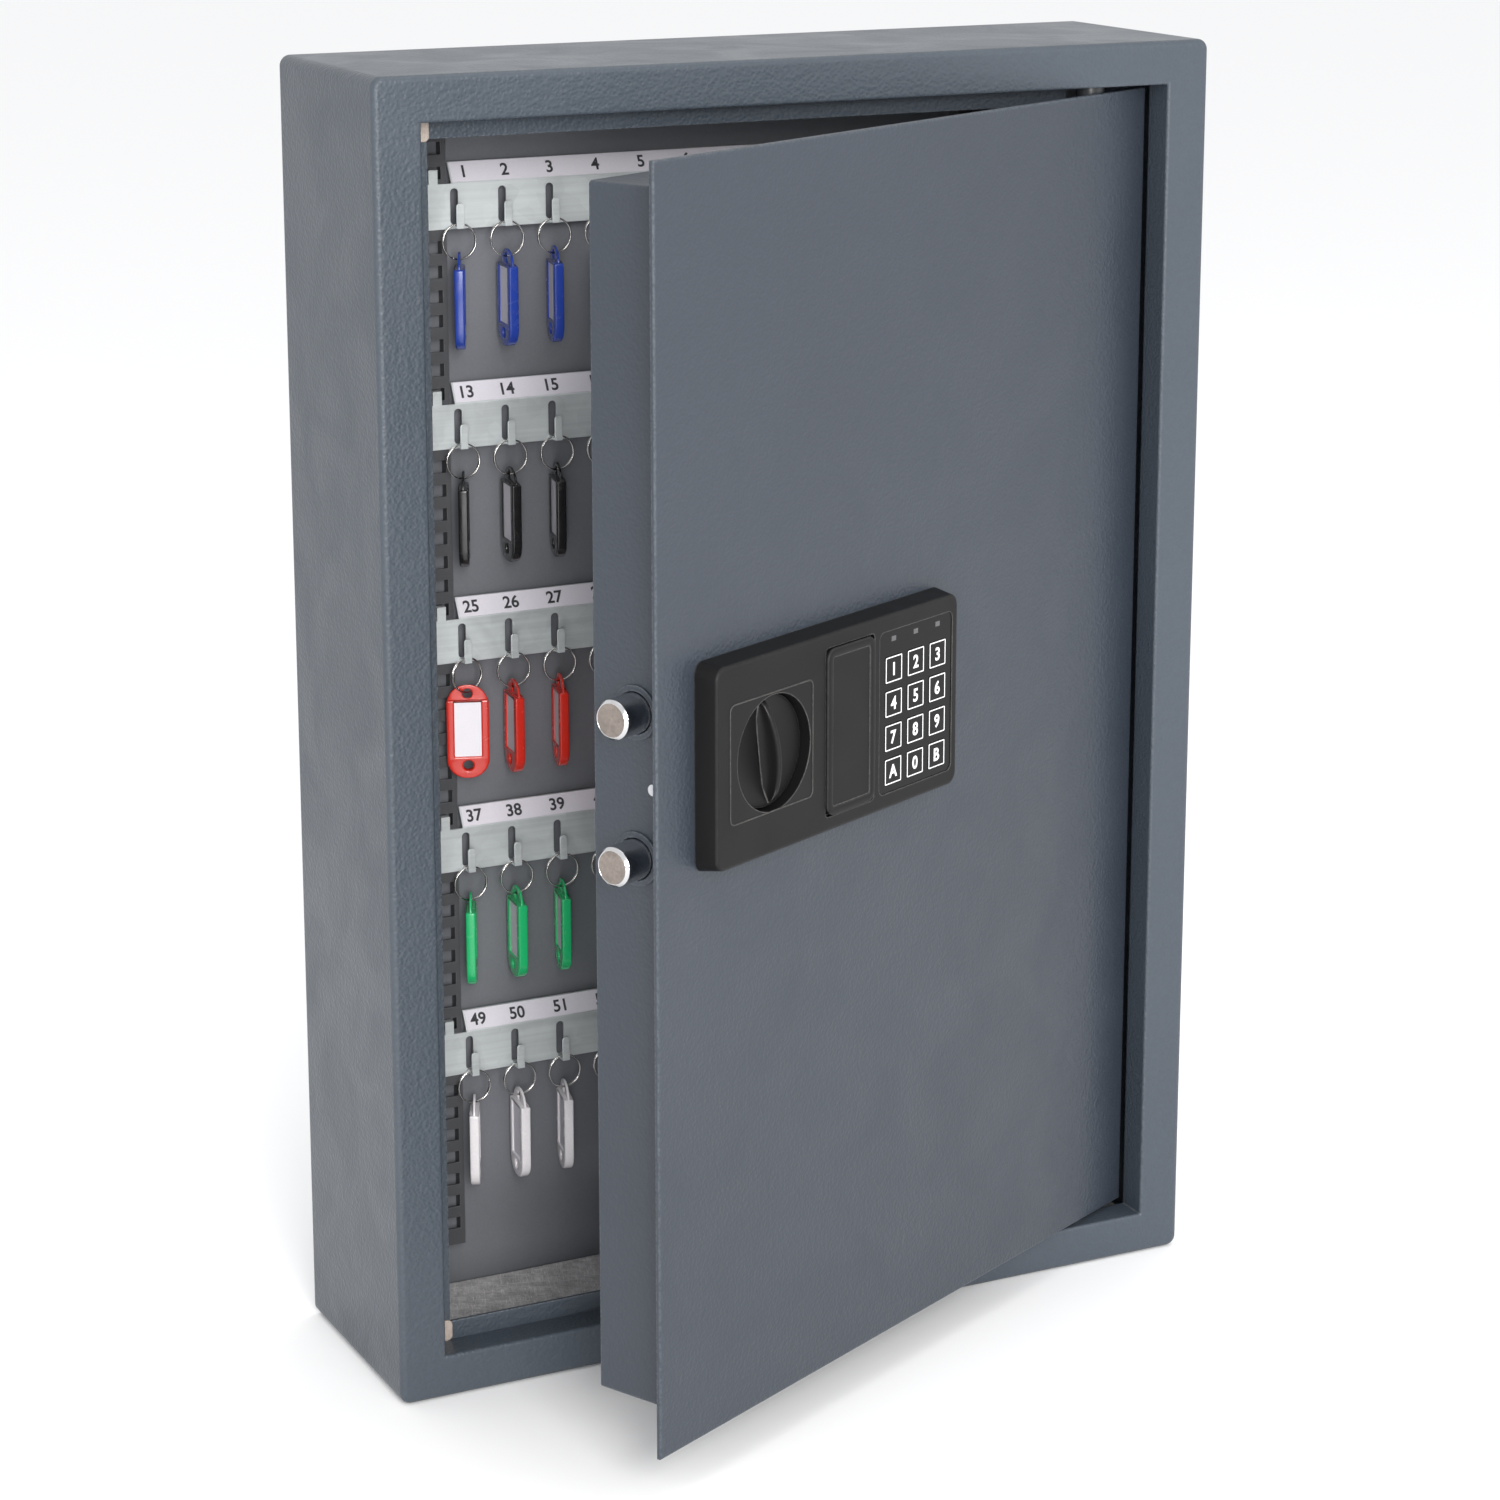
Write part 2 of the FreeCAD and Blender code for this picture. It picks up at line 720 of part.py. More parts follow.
def back_cover_screws():
    screws = []
    slot = screw_slot_width / 2
    arm = screw_slot_length / 2
    slot_floor = cover_back + screw_head_height / 2
    slot_top = cover_back + screw_head_height + 1
    for x, z in screw_places():
        head = rod_y(x, cover_back, cover_back + screw_head_height, z, screw_head_diameter)
        head = head.makeFillet(screw_head_radius, edges_at_y(head, cover_back + screw_head_height))
        cross = [box(x - arm, x + arm, slot_floor, slot_top, z - slot, z + slot),
                 box(x - slot, x + slot, slot_floor, slot_top, z - arm, z + arm)]
        screws.append(fuse([head.cut(cross),
                            rod_y(x, cover_back - screw_length, cover_back, z, screw_diameter)]))
    return group(screws)


def hinge_pins():
    inside = tray_half_height - tray_sheet
    end = opening_half_height + body_sheet + bracket_thickness + pin_end_reach
    shaft = rod_z(pivot_x, pivot_y, inside - pin_collar_height, end, pin_diameter)
    collar = rod_z(pivot_x, pivot_y, inside - pin_collar_height, inside, pin_collar_diameter)
    pin = fuse([shaft, collar])
    return group([pin, mirror_z(pin)])


def bolt_zs():
    return (bolt_centre_z - bolt_spacing / 2, bolt_centre_z + bolt_spacing / 2)


def bush_outer():
    return bolt_diameter + 2 * (bush_clearance + bush_wall)


def bolt_bushes():
    bushes = []
    for z in bolt_zs():
        sleeve = rod_x(-tray_half_width, -tray_half_width + bush_length, bolt_y, z, bush_outer())
        flange = rod_x(-tray_half_width - bush_flange_thickness, -tray_half_width, bolt_y, z,
                       bush_outer() + bush_flange)
        bore = rod_x(-tray_half_width - 5, -tray_half_width + bush_length + 1, bolt_y, z,
                     bolt_diameter + 2 * bush_clearance)
        bushes.append(fuse([sleeve, flange]).cut(bore))
    return group(bushes)


def side_rivet():
    y = plate_front + rivet_depth
    head = rod_x(-tray_half_width - rivet_head_height, -tray_half_width, y, bolt_centre_z,
                 rivet_head_diameter)
    shank = rod_x(-tray_half_width, -tray_half_width + tray_sheet, y, bolt_centre_z, rivet_diameter)
    tail = rod_x(-tray_half_width + tray_sheet, -tray_half_width + tray_sheet + rivet_head_height, y,
                 bolt_centre_z, rivet_head_diameter)
    return fuse([head, shank, tail])


# ---- bolt work ----
def lock_bolts():
    bolts = []
    for z in bolt_zs():
        bolt = rod_x(bolt_tip, web_left, bolt_y, z, bolt_diameter)
        tip = [e for e in bolt.Edges if e.BoundBox.XMax < bolt_tip + 0.01]
        bolts.append(bolt.makeChamfer(bolt_chamfer, tip))
    return group(bolts)


def bolt_carriage():
    web = box(web_left, web_left + carriage_web, carriage_front, bolt_y + bolt_diameter / 2,
              carriage_low, carriage_high)
    plate = box(web_left, carriage_right, carriage_front, carriage_back, carriage_low, carriage_high)
    tab = box(tab_left, tab_left + tab_width, carriage_front, carriage_back,
              carriage_high, carriage_high + tab_height)
    carriage = fuse([web, plate, tab])
    slot_half = crank_pin_diameter / 2 + crank_slot_clearance
    slot_low = crank_z - slot_half - crank_slot_end_gap
    slot_high = knob_z + crank_radius + slot_half + crank_slot_end_gap
    cuts = [slab(crank_x - slot_half, crank_x + slot_half, slot_low, slot_high, slot_half - 0.01,
                 carriage_front - 1, carriage_back + 1)]
    guide_half = guide_stud_diameter / 2 + guide_clearance
    for z in guide_zs():
        cuts.append(slab(guide_x - bolt_throw - guide_half, guide_x + guide_half, z - guide_half,
                         z + guide_half,
                         guide_half - 0.01, carriage_front - 1, carriage_back + 1))
    return carriage.cut(cuts)


def guide_zs():
    return (carriage_low + guide_from_edge, carriage_high - guide_from_edge)


def carriage_guides():
    studs = []
    for z in guide_zs():
        head_front = carriage_back + guide_clearance
        stud = rod_y(guide_x, plate_back, head_front, z, guide_stud_diameter)
        head = rod_y(guide_x, head_front, head_front + guide_head_height, z, guide_head_diameter)
        studs.append(fuse([stud, head]))
    return group(studs)


def spindle_cam():
    shaft = rod_y(knob_x, recess_floor - knob_floor_clearance, disc_front, knob_z, spindle_diameter)
    disc = rod_y(knob_x, disc_front, disc_back, knob_z, crank_disc_diameter)
    pin = rod_y(crank_x, disc_back, carriage_back + carriage_pin_stub, crank_z, crank_pin_diameter)
    return fuse([shaft, disc, pin])


def knob():
    back = recess_floor - knob_floor_clearance
    face = back - knob_disc_thickness
    radius = knob_recess_diameter / 2 - knob_side_clearance
    disc = rod_y(knob_x, face, back, knob_z, 2 * radius)
    disc = disc.makeFillet(knob_edge_radius, edges_at_y(disc, face))
    reach = radius - knob_fin_inset
    low_end = Vector(0, face + knob_fin_sink, -reach)
    high_end = Vector(0, face + knob_fin_sink, reach)
    arch = Part.Arc(low_end, Vector(0, face - knob_fin_height, 0), high_end)
    outline = Part.Wire([arch.toShape(), Part.makeLine(high_end, low_end)])
    fin = Part.Face(outline).extrude(Vector(knob_fin_thickness, 0, 0))
    fin.translate(Vector(-knob_fin_thickness / 2, 0, 0))
    fin.rotate(Vector(0, 0, 0), Vector(0, 1, 0), -knob_fin_tilt)
    fin.translate(Vector(knob_x, 0, knob_z))
    return fuse([disc, fin])


# ---- solenoid ----
def solenoid_body():
    body = slab(plunger_x - solenoid_width / 2, plunger_x + solenoid_width / 2, solenoid_low,
                solenoid_low + solenoid_height, solenoid_corner_radius, plate_back,
                plate_back + solenoid_width)
    bore = rod_z(plunger_x, plunger_y, solenoid_low - 1, solenoid_low + solenoid_height - solenoid_wall,
                 plunger_diameter + 2 * plunger_clearance)
    return body.cut(bore)


def solenoid_plunger():
    return rod_z(plunger_x, plunger_y, plunger_low, plunger_low + plunger_length, plunger_diameter)


# ---- lock panel ----
def lock_housing():
    back_outline = rounded_outline(panel_left, panel_right, panel_low, panel_high, panel_corner_radius,
                                   plate_front)
    front_outline = rounded_outline(panel_left + panel_draft, panel_right - panel_draft,
                                    panel_low + panel_draft,
                                    panel_high - panel_draft, panel_corner_radius, panel_front)
    housing = Part.makeLoft([back_outline, front_outline], True, True)
    housing = housing.makeFillet(panel_edge_radius, edges_at_y(housing, panel_front))
    pocket_x = cover_plate_width / 2 + cover_plate_gap
    pocket_z = cover_plate_height / 2 + cover_plate_gap
    bay_x = keypad_width / 2 - electronics_bay_margin
    bay_z = keypad_height / 2 - electronics_bay_margin
    cuts = [
        rod_y(knob_x, panel_front - 1, recess_floor, knob_z, knob_recess_diameter),
        rod_y(knob_x, recess_floor - 1, plate_front + 1, knob_z, spindle_diameter + 2 * spindle_clearance),
        slab(cover_plate_x - pocket_x, cover_plate_x + pocket_x, panel_centre_z - pocket_z,
             panel_centre_z + pocket_z, cover_pocket_radius, panel_front - 1, cover_pocket_floor),
        rod_y(cover_plate_x, panel_front, plate_front + 1, panel_centre_z, cylinder_diameter),
        rod_y(cover_plate_x, panel_front, cover_pocket_floor + cylinder_flange_thickness + cylinder_front_gap,
              panel_centre_z, cylinder_flange_diameter),
        slab(keypad_x - keypad_width / 2, keypad_x + keypad_width / 2, keypad_z - keypad_height / 2,
             keypad_z + keypad_height / 2, keypad_corner_radius, panel_front - 1, keypad_back),
        box(keypad_x - bay_x, keypad_x + bay_x, keypad_back + electronics_bay_floor, plate_front + 1,
            keypad_z - bay_z, keypad_z + bay_z),
    ]
    return housing.cut(cuts)


def key_places():
    """Each key's name and its middle, row by row from the top."""
    names = ("1", "2", "3", "4", "5", "6", "7", "8", "9", "a", "0", "b")
    top_z = keypad_high - key_top_from_edge
    places = []
    for index, name in enumerate(names):
        column = index % 3 - 1
        row = index // 3
        places.append((name, keypad_x + column * key_pitch_x, top_z - row * key_pitch_z))
    return places


def key_pad(x, z):
    key = slab(x - key_width / 2, x + key_width / 2, z - key_height / 2, z + key_height / 2,
               key_corner_radius,
               keypad_front - key_proud, keypad_front - key_proud + key_thickness)
    return key


def light_places():
    z = keypad_high - light_from_edge
    return [(keypad_x + column * key_pitch_x, z) for column in (-1, 0, 1)]


def keypad_frame():
    frame = slab(keypad_x - keypad_width / 2, keypad_x + keypad_width / 2, keypad_z - keypad_height / 2,
                 keypad_z + keypad_height / 2, keypad_corner_radius, keypad_front, keypad_back)
    cuts = []
    for _, x, z in key_places():
        half_x = key_width / 2 + key_gap
        half_z = key_height / 2 + key_gap
        cuts.append(slab(x - half_x, x + half_x, z - half_z, z + half_z, key_corner_radius + key_gap,
                         keypad_front - 1, keypad_back + 1))
    for x, z in light_places():
        cuts.append(box(x - light_width / 2, x + light_width / 2, keypad_front - 1,
                        keypad_front + light_thickness,
                        z - light_height / 2, z + light_height / 2))
    return frame.cut(cuts)


def indicator_windows():
    return group([box(x - light_width / 2, x + light_width / 2, keypad_front, keypad_front + light_thickness,
                      z - light_height / 2, z + light_height / 2) for x, z in light_places()])


def emergency_cover():
    front_y = panel_front - cover_plate_proud
    cover = slab(cover_plate_x - cover_plate_width / 2, cover_plate_x + cover_plate_width / 2,
                 panel_centre_z - cover_plate_height / 2, panel_centre_z + cover_plate_height / 2,
                 cover_plate_radius, front_y, front_y + cover_plate_thickness)
    return cover.makeFillet(cover_plate_edge_radius, edges_at_y(cover, front_y))


def emergency_cylinder():
    face = cover_pocket_floor + cylinder_front_gap
    flange = rod_y(cover_plate_x, face, face + cylinder_flange_thickness, panel_centre_z,
                   cylinder_flange_diameter)
    body = rod_y(cover_plate_x, face, face + cylinder_length, panel_centre_z, cylinder_diameter)
    bore = rod_y(cover_plate_x, face - 1, face + cylinder_length + 1, panel_centre_z,
                 plug_diameter + 2 * plug_clearance)
    return fuse([flange, body]).cut(bore)


def emergency_plug():
    face = cover_pocket_floor + cylinder_front_gap
    tail_front = face + cylinder_length + tail_gap
    plug = rod_y(cover_plate_x, face, tail_front, panel_centre_z, plug_diameter)
    tail = box(cover_plate_x - tail_width / 2, cover_plate_x + tail_width / 2, tail_front,
               tail_front + tail_thickness,
               panel_centre_z - tail_width / 2, panel_centre_z + tail_length)
    keyway = box(cover_plate_x - keyway_width / 2, cover_plate_x + keyway_width / 2, face - 1,
                 face + keyway_depth,
                 panel_centre_z - keyway_height / 2, panel_centre_z + keyway_height / 2)
    return fuse([plug, tail]).cut(keyway)


# ---- board and batteries ----
def circuit_board():
    front_y = plate_back + board_standoff
    board = box(keypad_x - board_width / 2, keypad_x + board_width / 2, front_y, front_y + board_thickness,
                keypad_z - board_height / 2, keypad_z + board_height / 2)
    pieces = [board]
    for sx in (-1, 1):
        for sz in (-1, 1):
            x = keypad_x + sx * (board_width / 2 - standoff_inset)
            z = keypad_z + sz * (board_height / 2 - standoff_inset)
            pieces.append(rod_y(x, plate_back, front_y, z, standoff_diameter))
    return fuse(pieces)


def battery_box():
    width, height = battery_box_size()
    depth = battery_diameter + battery_gap + battery_wall
    outer = box(battery_box_x - width / 2 - battery_wall, battery_box_x + width / 2 + battery_wall,
                tray_back - depth,
                tray_back, battery_box_z - height / 2 - battery_wall,
                battery_box_z + height / 2 + battery_wall)
    inner = box(battery_box_x - width / 2, battery_box_x + width / 2, tray_back - depth + battery_wall,
                tray_back + 1,
                battery_box_z - height / 2, battery_box_z + height / 2)
    return outer.cut(inner)


def batteries():
    width, _ = battery_box_size()
    cells = []
    for index in range(battery_count):
        x = battery_box_x - width / 2 + battery_gap + battery_diameter / 2 + index * (battery_diameter
                                                                                      + battery_gap)
        y = tray_back - battery_gap / 2 - battery_diameter / 2
        low = battery_box_z - battery_length / 2
        cells.append(rod_z(x, y, low, low + battery_length, battery_diameter))
    return group(cells)


def battery_lid():
    width, height = battery_box_size()
    return slab(battery_box_x - width / 2 - lid_overlap, battery_box_x + width / 2 + lid_overlap,
                battery_box_z - height / 2 - lid_overlap, battery_box_z + height / 2 + lid_overlap,
                lid_corner_radius,
                cover_back, cover_back + lid_thickness)


# ---- write every piece ----
save("cabinet_shell", cabinet_shell())
save("back_panel", back_panel())
save("door_stop_frame", door_stop_frame())
save("corner_pads", corner_pads())
save("hinge_brackets", hinge_brackets())
save("hinge_bushes", hinge_bushes())
save("slotted_rails", slotted_rails())
save("number_strips", number_strips())
save("felt_mat", felt_mat())

one_tag = key_tag()
for number, bar_low in enumerate(bar_lows, start=1):
    save("hook_bar_%d" % number, hook_bar(bar_low))
    save("key_rings_row_%d" % number, key_rings(number, bar_low))
    save("key_tags_row_%d" % number, key_tags(number, bar_low, one_tag))

save_on_door("door_plate", door_plate())
save_on_door("door_tray", door_tray())
save_on_door("door_back_cover", door_back_cover())
save_on_door("back_cover_screws", back_cover_screws())
save_on_door("hinge_pins", hinge_pins())
save_on_door("bolt_bushes", bolt_bushes())
save_on_door("side_rivet", side_rivet())
save_on_door("carriage_guides", carriage_guides())
save_on_door("lock_bolts", lock_bolts())
save_on_door("bolt_carriage", bolt_carriage())
save_on_door("spindle_cam", spindle_cam())
save_on_door("knob", knob())
save_on_door("solenoid_body", solenoid_body())
save_on_door("solenoid_plunger", solenoid_plunger())
save_on_door("lock_housing", lock_housing())
save_on_door("keypad_frame", keypad_frame())
save_on_door("indicator_windows", indicator_windows())
save_on_door("emergency_cover", emergency_cover())
save_on_door("emergency_cylinder", emergency_cylinder())
save_on_door("emergency_plug", emergency_plug())
save_on_door("circuit_board", circuit_board())
save_on_door("battery_box", battery_box())
save_on_door("batteries", batteries())
save_on_door("battery_lid", battery_lid())
for key_name, key_x, key_z in key_places():
    save_on_door("key_" + key_name, key_pad(key_x, key_z))

print("hinge line", round(pivot_x, 3), round(pivot_y, 3), "hooks per row", hook_count)
print("row pitch", round(row_pitch, 3), "crank radius", round(crank_radius, 3))
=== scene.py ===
import json
import math
import random

import bmesh
import bpy
from mathutils import Matrix, Vector, noise


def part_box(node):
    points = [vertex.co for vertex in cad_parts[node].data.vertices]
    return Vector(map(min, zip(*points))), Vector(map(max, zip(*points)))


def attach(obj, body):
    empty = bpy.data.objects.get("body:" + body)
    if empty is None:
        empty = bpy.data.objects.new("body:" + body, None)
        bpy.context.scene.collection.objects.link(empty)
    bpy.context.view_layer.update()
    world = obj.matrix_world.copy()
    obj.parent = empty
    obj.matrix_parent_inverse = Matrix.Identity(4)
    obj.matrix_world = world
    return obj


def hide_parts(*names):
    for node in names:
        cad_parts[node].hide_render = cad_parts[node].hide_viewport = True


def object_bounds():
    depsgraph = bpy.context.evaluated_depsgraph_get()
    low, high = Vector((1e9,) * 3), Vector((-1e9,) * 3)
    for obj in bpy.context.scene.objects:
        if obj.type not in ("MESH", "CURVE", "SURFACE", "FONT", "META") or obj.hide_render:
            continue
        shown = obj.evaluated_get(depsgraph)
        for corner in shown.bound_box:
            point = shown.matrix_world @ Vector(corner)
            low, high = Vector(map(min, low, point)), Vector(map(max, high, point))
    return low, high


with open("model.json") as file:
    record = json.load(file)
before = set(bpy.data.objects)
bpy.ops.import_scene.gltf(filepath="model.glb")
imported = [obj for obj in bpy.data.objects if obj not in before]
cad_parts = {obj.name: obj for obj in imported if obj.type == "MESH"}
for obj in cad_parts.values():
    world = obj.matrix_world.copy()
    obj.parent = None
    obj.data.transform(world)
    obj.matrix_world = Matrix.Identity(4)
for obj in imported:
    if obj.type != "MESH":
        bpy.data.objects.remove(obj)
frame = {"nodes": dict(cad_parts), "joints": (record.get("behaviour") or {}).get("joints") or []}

cadLow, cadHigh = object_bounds()
nodes = frame["nodes"]
joints = {joint["name"]: joint for joint in frame["joints"]}
dice = random.Random(11)
mm = 0.001

# the door stands open in the frame, so its pieces are made as if it were shut and then turned
pivot = Vector(joints["door_hinge"]["pos_m"])
doorAlong = joints["bolt_slide"]["axis"]
doorAngle = math.atan2(doorAlong[1], doorAlong[0])
doorPlace = Matrix.Translation(pivot) @ Matrix.Rotation(doorAngle, 4, "Z") @ Matrix.Translation(-pivot)
print("frame loaded")

# camera, floor and lights
cameraValues = {"azimuth": -26.48, "elevation": 13.25, "distance": 1.6214, "lens": 90.45,
                "shift": (-0.0025, -0.1075),
                "target": (-0.0007, -0.0525, 0.0433)}
roomValues = {"floorColour": (0.93, 0.93, 0.935, 1), "skyColour": (0.99, 0.995, 1.0, 1), "skyStrength": 1.0}
lightValues = [
    {"name": "keySoftbox", "place": (-0.5, -2.7, 1.25), "aim": (-0.1, 0, 0), "size": (1.2, 1.2), "power": 40,
     "colour": (1.0, 0.985, 0.96)},
    {"name": "rightSoftbox", "place": (1.9, -1.7, 0.9), "aim": (0, -0.1, 0), "size": (0.9, 1.8), "power": 7,
     "colour": (0.95, 0.97, 1.0)},
    {"name": "insideSoftbox", "place": (-0.85, -2.3, 0.45), "aim": (-0.12, -0.03, -0.05), "size": (0.7, 0.9),
     "power": 30, "colour": (1.0, 0.99, 0.98)},
    {"name": "topSoftbox", "place": (0.2, -0.3, 2.2), "aim": (0, 0, 0.2), "size": (1.6, 1.0), "power": 8,
     "colour": (1.0, 1.0, 1.0)},
]


def aimAt(thing, target):
    direction = Vector(target) - thing.location
    thing.rotation_euler = direction.to_track_quat("-Z", "Y").to_euler()


def makeCamera(v):
    turn, tilt = math.radians(v["azimuth"]), math.radians(v["elevation"])
    back = Vector((math.sin(turn) * math.cos(tilt), -math.cos(turn) * math.cos(tilt), math.sin(tilt)))
    data = bpy.data.cameras.new("camera")
    data.lens = v["lens"]
    data.sensor_width = 36
    data.shift_x, data.shift_y = v["shift"]
    data.clip_end = 50
    camera = bpy.data.objects.new("camera", data)
    camera.location = Vector(v["target"]) + back * v["distance"]
    bpy.context.scene.collection.objects.link(camera)
    aimAt(camera, v["target"])
    bpy.context.scene.camera = camera


def makeLights():
    for v in lightValues:
        data = bpy.data.lights.new(v["name"], "AREA")
        data.shape = "RECTANGLE"
        data.size, data.size_y = v["size"]
        data.energy = v["power"]
        data.color = v["colour"]
        lamp = bpy.data.objects.new(v["name"], data)
        lamp.location = v["place"]
        bpy.context.scene.collection.objects.link(lamp)
        aimAt(lamp, v["aim"])


def makeRoom(v):
    world = bpy.data.worlds.new("sky")
    bpy.context.scene.world = world
    world.use_nodes = True
    sky = world.node_tree.nodes["Background"]
    sky.inputs["Color"].default_value = v["skyColour"]
    sky.inputs["Strength"].default_value = v["skyStrength"]
    mesh = bpy.data.meshes.new("floor")
    reach, height = 14.0, cadLow.z - 0.0004
    mesh.from_pydata([(-reach, -reach, height), (reach, -reach, height), (reach, reach, height),
                      (-reach, reach, height)],
                     [], [(0, 1, 2, 3)])
    floor = bpy.data.objects.new("floor", mesh)
    bpy.context.scene.collection.objects.link(floor)
    paper = bpy.data.materials.new("floorPaper")
    paper.use_nodes = True
    shader = paper.node_tree.nodes["Principled BSDF"]
    shader.inputs["Base Color"].default_value = v["floorColour"]
    shader.inputs["Roughness"].default_value = 0.9
    shader.inputs["Specular IOR Level"].default_value = 0.15
    mesh.materials.append(paper)


makeCamera(cameraValues)
makeLights()
makeRoom(roomValues)
bpy.context.scene.view_settings.view_transform = "Standard"
print("camera, lights and floor placed")


# shader helpers
def addNode(tree, kind, place=(0, 0), **settings):
    node = tree.nodes.new(kind)
    node.location = place
    for name, value in settings.items():
        setattr(node, name, value)
    return node


def joinSockets(tree, pairs):
    for start, end in pairs:
        tree.links.new(start, end)


def newGroup(name, inputs, outputs):
    group = bpy.data.node_groups.new(name, "ShaderNodeTree")
    for label, kind, value in inputs:
        socket = group.interface.new_socket(name=label, in_out="INPUT", socket_type=kind)
        socket.default_value = value
    for label, kind in outputs:
        group.interface.new_socket(name=label, in_out="OUTPUT", socket_type=kind)
    return group, addNode(group, "NodeGroupInput", (-900, 0)), addNode(group, "NodeGroupOutput", (900, 0))


def mathNode(tree, operation, first, second, place=(0, 0)):
    node = addNode(tree, "ShaderNodeMath", place, operation=operation)
    for socket, value in zip(node.inputs, (first, second)):
        if isinstance(value, (int, float)):
            socket.default_value = value
        elif value is not None:
            tree.links.new(value, socket)
    return node.outputs[0]


def mixColour(tree, share, first, second, place=(0, 0), blend="MIX"):
    node = addNode(tree, "ShaderNodeMix", place, data_type="RGBA", blend_type=blend)
    for socket, value in ((node.inputs["Factor"], share), (node.inputs[6], first), (node.inputs[7], second)):
        if isinstance(value, (int, float, tuple)):
            socket.default_value = value
        else:
            tree.links.new(value, socket)
    return node.outputs[2]


def remap(tree, value, fromLow, fromHigh, toLow, toHigh, place=(0, 0)):
    node = addNode(tree, "ShaderNodeMapRange", place)
    for index, number in ((1, fromLow), (2, fromHigh), (3, toLow), (4, toHigh)):
        if isinstance(number, (int, float)):
            node.inputs[index].default_value = number
        else:
            tree.links.new(number, node.inputs[index])
    tree.links.new(value, node.inputs[0])
    return node.outputs[0]


# the rounded line along a sharp edge: a softened normal, and a mask of where the edges are that the materials
# use for a painted highlight along them
def makeEdgeGroup():
    group, source, sink = newGroup(
        "edgeRoundingAndHighlight",
        [("Radius", "NodeSocketFloat", 0.0006), ("Patchiness", "NodeSocketFloat", 0.4),
         ("Patch Scale", "NodeSocketFloat", 300.0)],
        [("Mask", "NodeSocketFloat"), ("Normal", "NodeSocketVector")])
    bevel = addNode(group, "ShaderNodeBevel", (-600, 200), samples=4)
    geometry = addNode(group, "ShaderNodeNewGeometry", (-600, -100))
    dot = addNode(group, "ShaderNodeVectorMath", (-400, 0), operation="DOT_PRODUCT")
    coords = addNode(group, "ShaderNodeTexCoord", (-700, -300))
    patch = addNode(group, "ShaderNodeTexNoise", (-500, -300))
    patch.inputs["Detail"].default_value = 3.0
    joinSockets(group, [
        (source.outputs["Radius"], bevel.inputs["Radius"]), (bevel.outputs[0], dot.inputs[0]),
        (geometry.outputs["Normal"], dot.inputs[1]), (coords.outputs["Object"], patch.inputs["Vector"]),
        (source.outputs["Patch Scale"], patch.inputs["Scale"]), (bevel.outputs[0], sink.inputs["Normal"])])
    rim = remap(group, dot.outputs["Value"], 1.0, 0.86, 0.0, 1.0, (-200, 0))
    broken = remap(group, patch.outputs[0], 0.42, 0.6, 0.0, 1.0, (-200, -300))
    keep = mathNode(group, "SUBTRACT", 1.0,
                    mathNode(group, "MULTIPLY", source.outputs["Patchiness"], broken, (0, -300)), (150, -200))
    joinSockets(group, [(mathNode(group, "MULTIPLY", rim, keep, (350, 0)), sink.inputs["Mask"])])
    return group


# the fine pebbled skin of powder coat or moulded plastic
def makeGrainGroup():
    group, source, sink = newGroup(
        "fineGrain",
        [("Colour", "NodeSocketColor", (0.5, 0.5, 0.5, 1)), ("Grain Size", "NodeSocketFloat", 0.0012),
         ("Tone Spread", "NodeSocketFloat", 0.1)],
        [("Colour", "NodeSocketColor"), ("Height", "NodeSocketFloat"), ("Soiling", "NodeSocketFloat")])
    coords = addNode(group, "ShaderNodeTexCoord", (-900, 200))
    scale = mathNode(group, "DIVIDE", 1.0, source.outputs["Grain Size"], (-700, -100))
    pebbles = addNode(group, "ShaderNodeTexVoronoi", (-450, 200), feature="SMOOTH_F1")
    pebbles.inputs["Smoothness"].default_value = 0.8
    ripple = addNode(group, "ShaderNodeTexNoise", (-450, -100))
    ripple.inputs["Detail"].default_value = 3.0
    cloud = addNode(group, "ShaderNodeTexNoise", (-450, -400))
    cloud.inputs["Scale"].default_value = 7.0
    cloud.inputs["Detail"].default_value = 4.0
    joinSockets(group, [(coords.outputs["Object"], pebbles.inputs["Vector"]),
                        (scale, pebbles.inputs["Scale"]),
                        (coords.outputs["Object"], ripple.inputs["Vector"]),
                        (mathNode(group, "MULTIPLY", scale, 0.45, (-600, -250)), ripple.inputs["Scale"]),
                        (coords.outputs["Object"], cloud.inputs["Vector"])])
    height = mathNode(group, "ADD", pebbles.outputs["Distance"], ripple.outputs[0], (-150, 100))
    soiling = remap(group, cloud.outputs[0], 0.35, 0.65, 0.0, 1.0, (-150, -400))
    tone = mathNode(group, "ADD", remap(group, height, 0.4, 1.3, -0.5, 0.5, (0, -100)),
                    remap(group, cloud.outputs[0], 0.3, 0.7, -0.5, 0.5, (0, -300)), (150, -200))
    light = mathNode(group, "ADD", mathNode(group, "MULTIPLY", tone, source.outputs["Tone Spread"],
                                            (300, -200)), 1.0, (450, -200))
    shade = addNode(group, "ShaderNodeVectorMath", (600, 0), operation="SCALE")
    joinSockets(group, [(source.outputs["Colour"], shade.inputs[0]), (light, shade.inputs["Scale"]),
                        (shade.outputs[0], sink.inputs["Colour"]), (height, sink.inputs["Height"]),
                        (soiling, sink.inputs["Soiling"])])
    return group


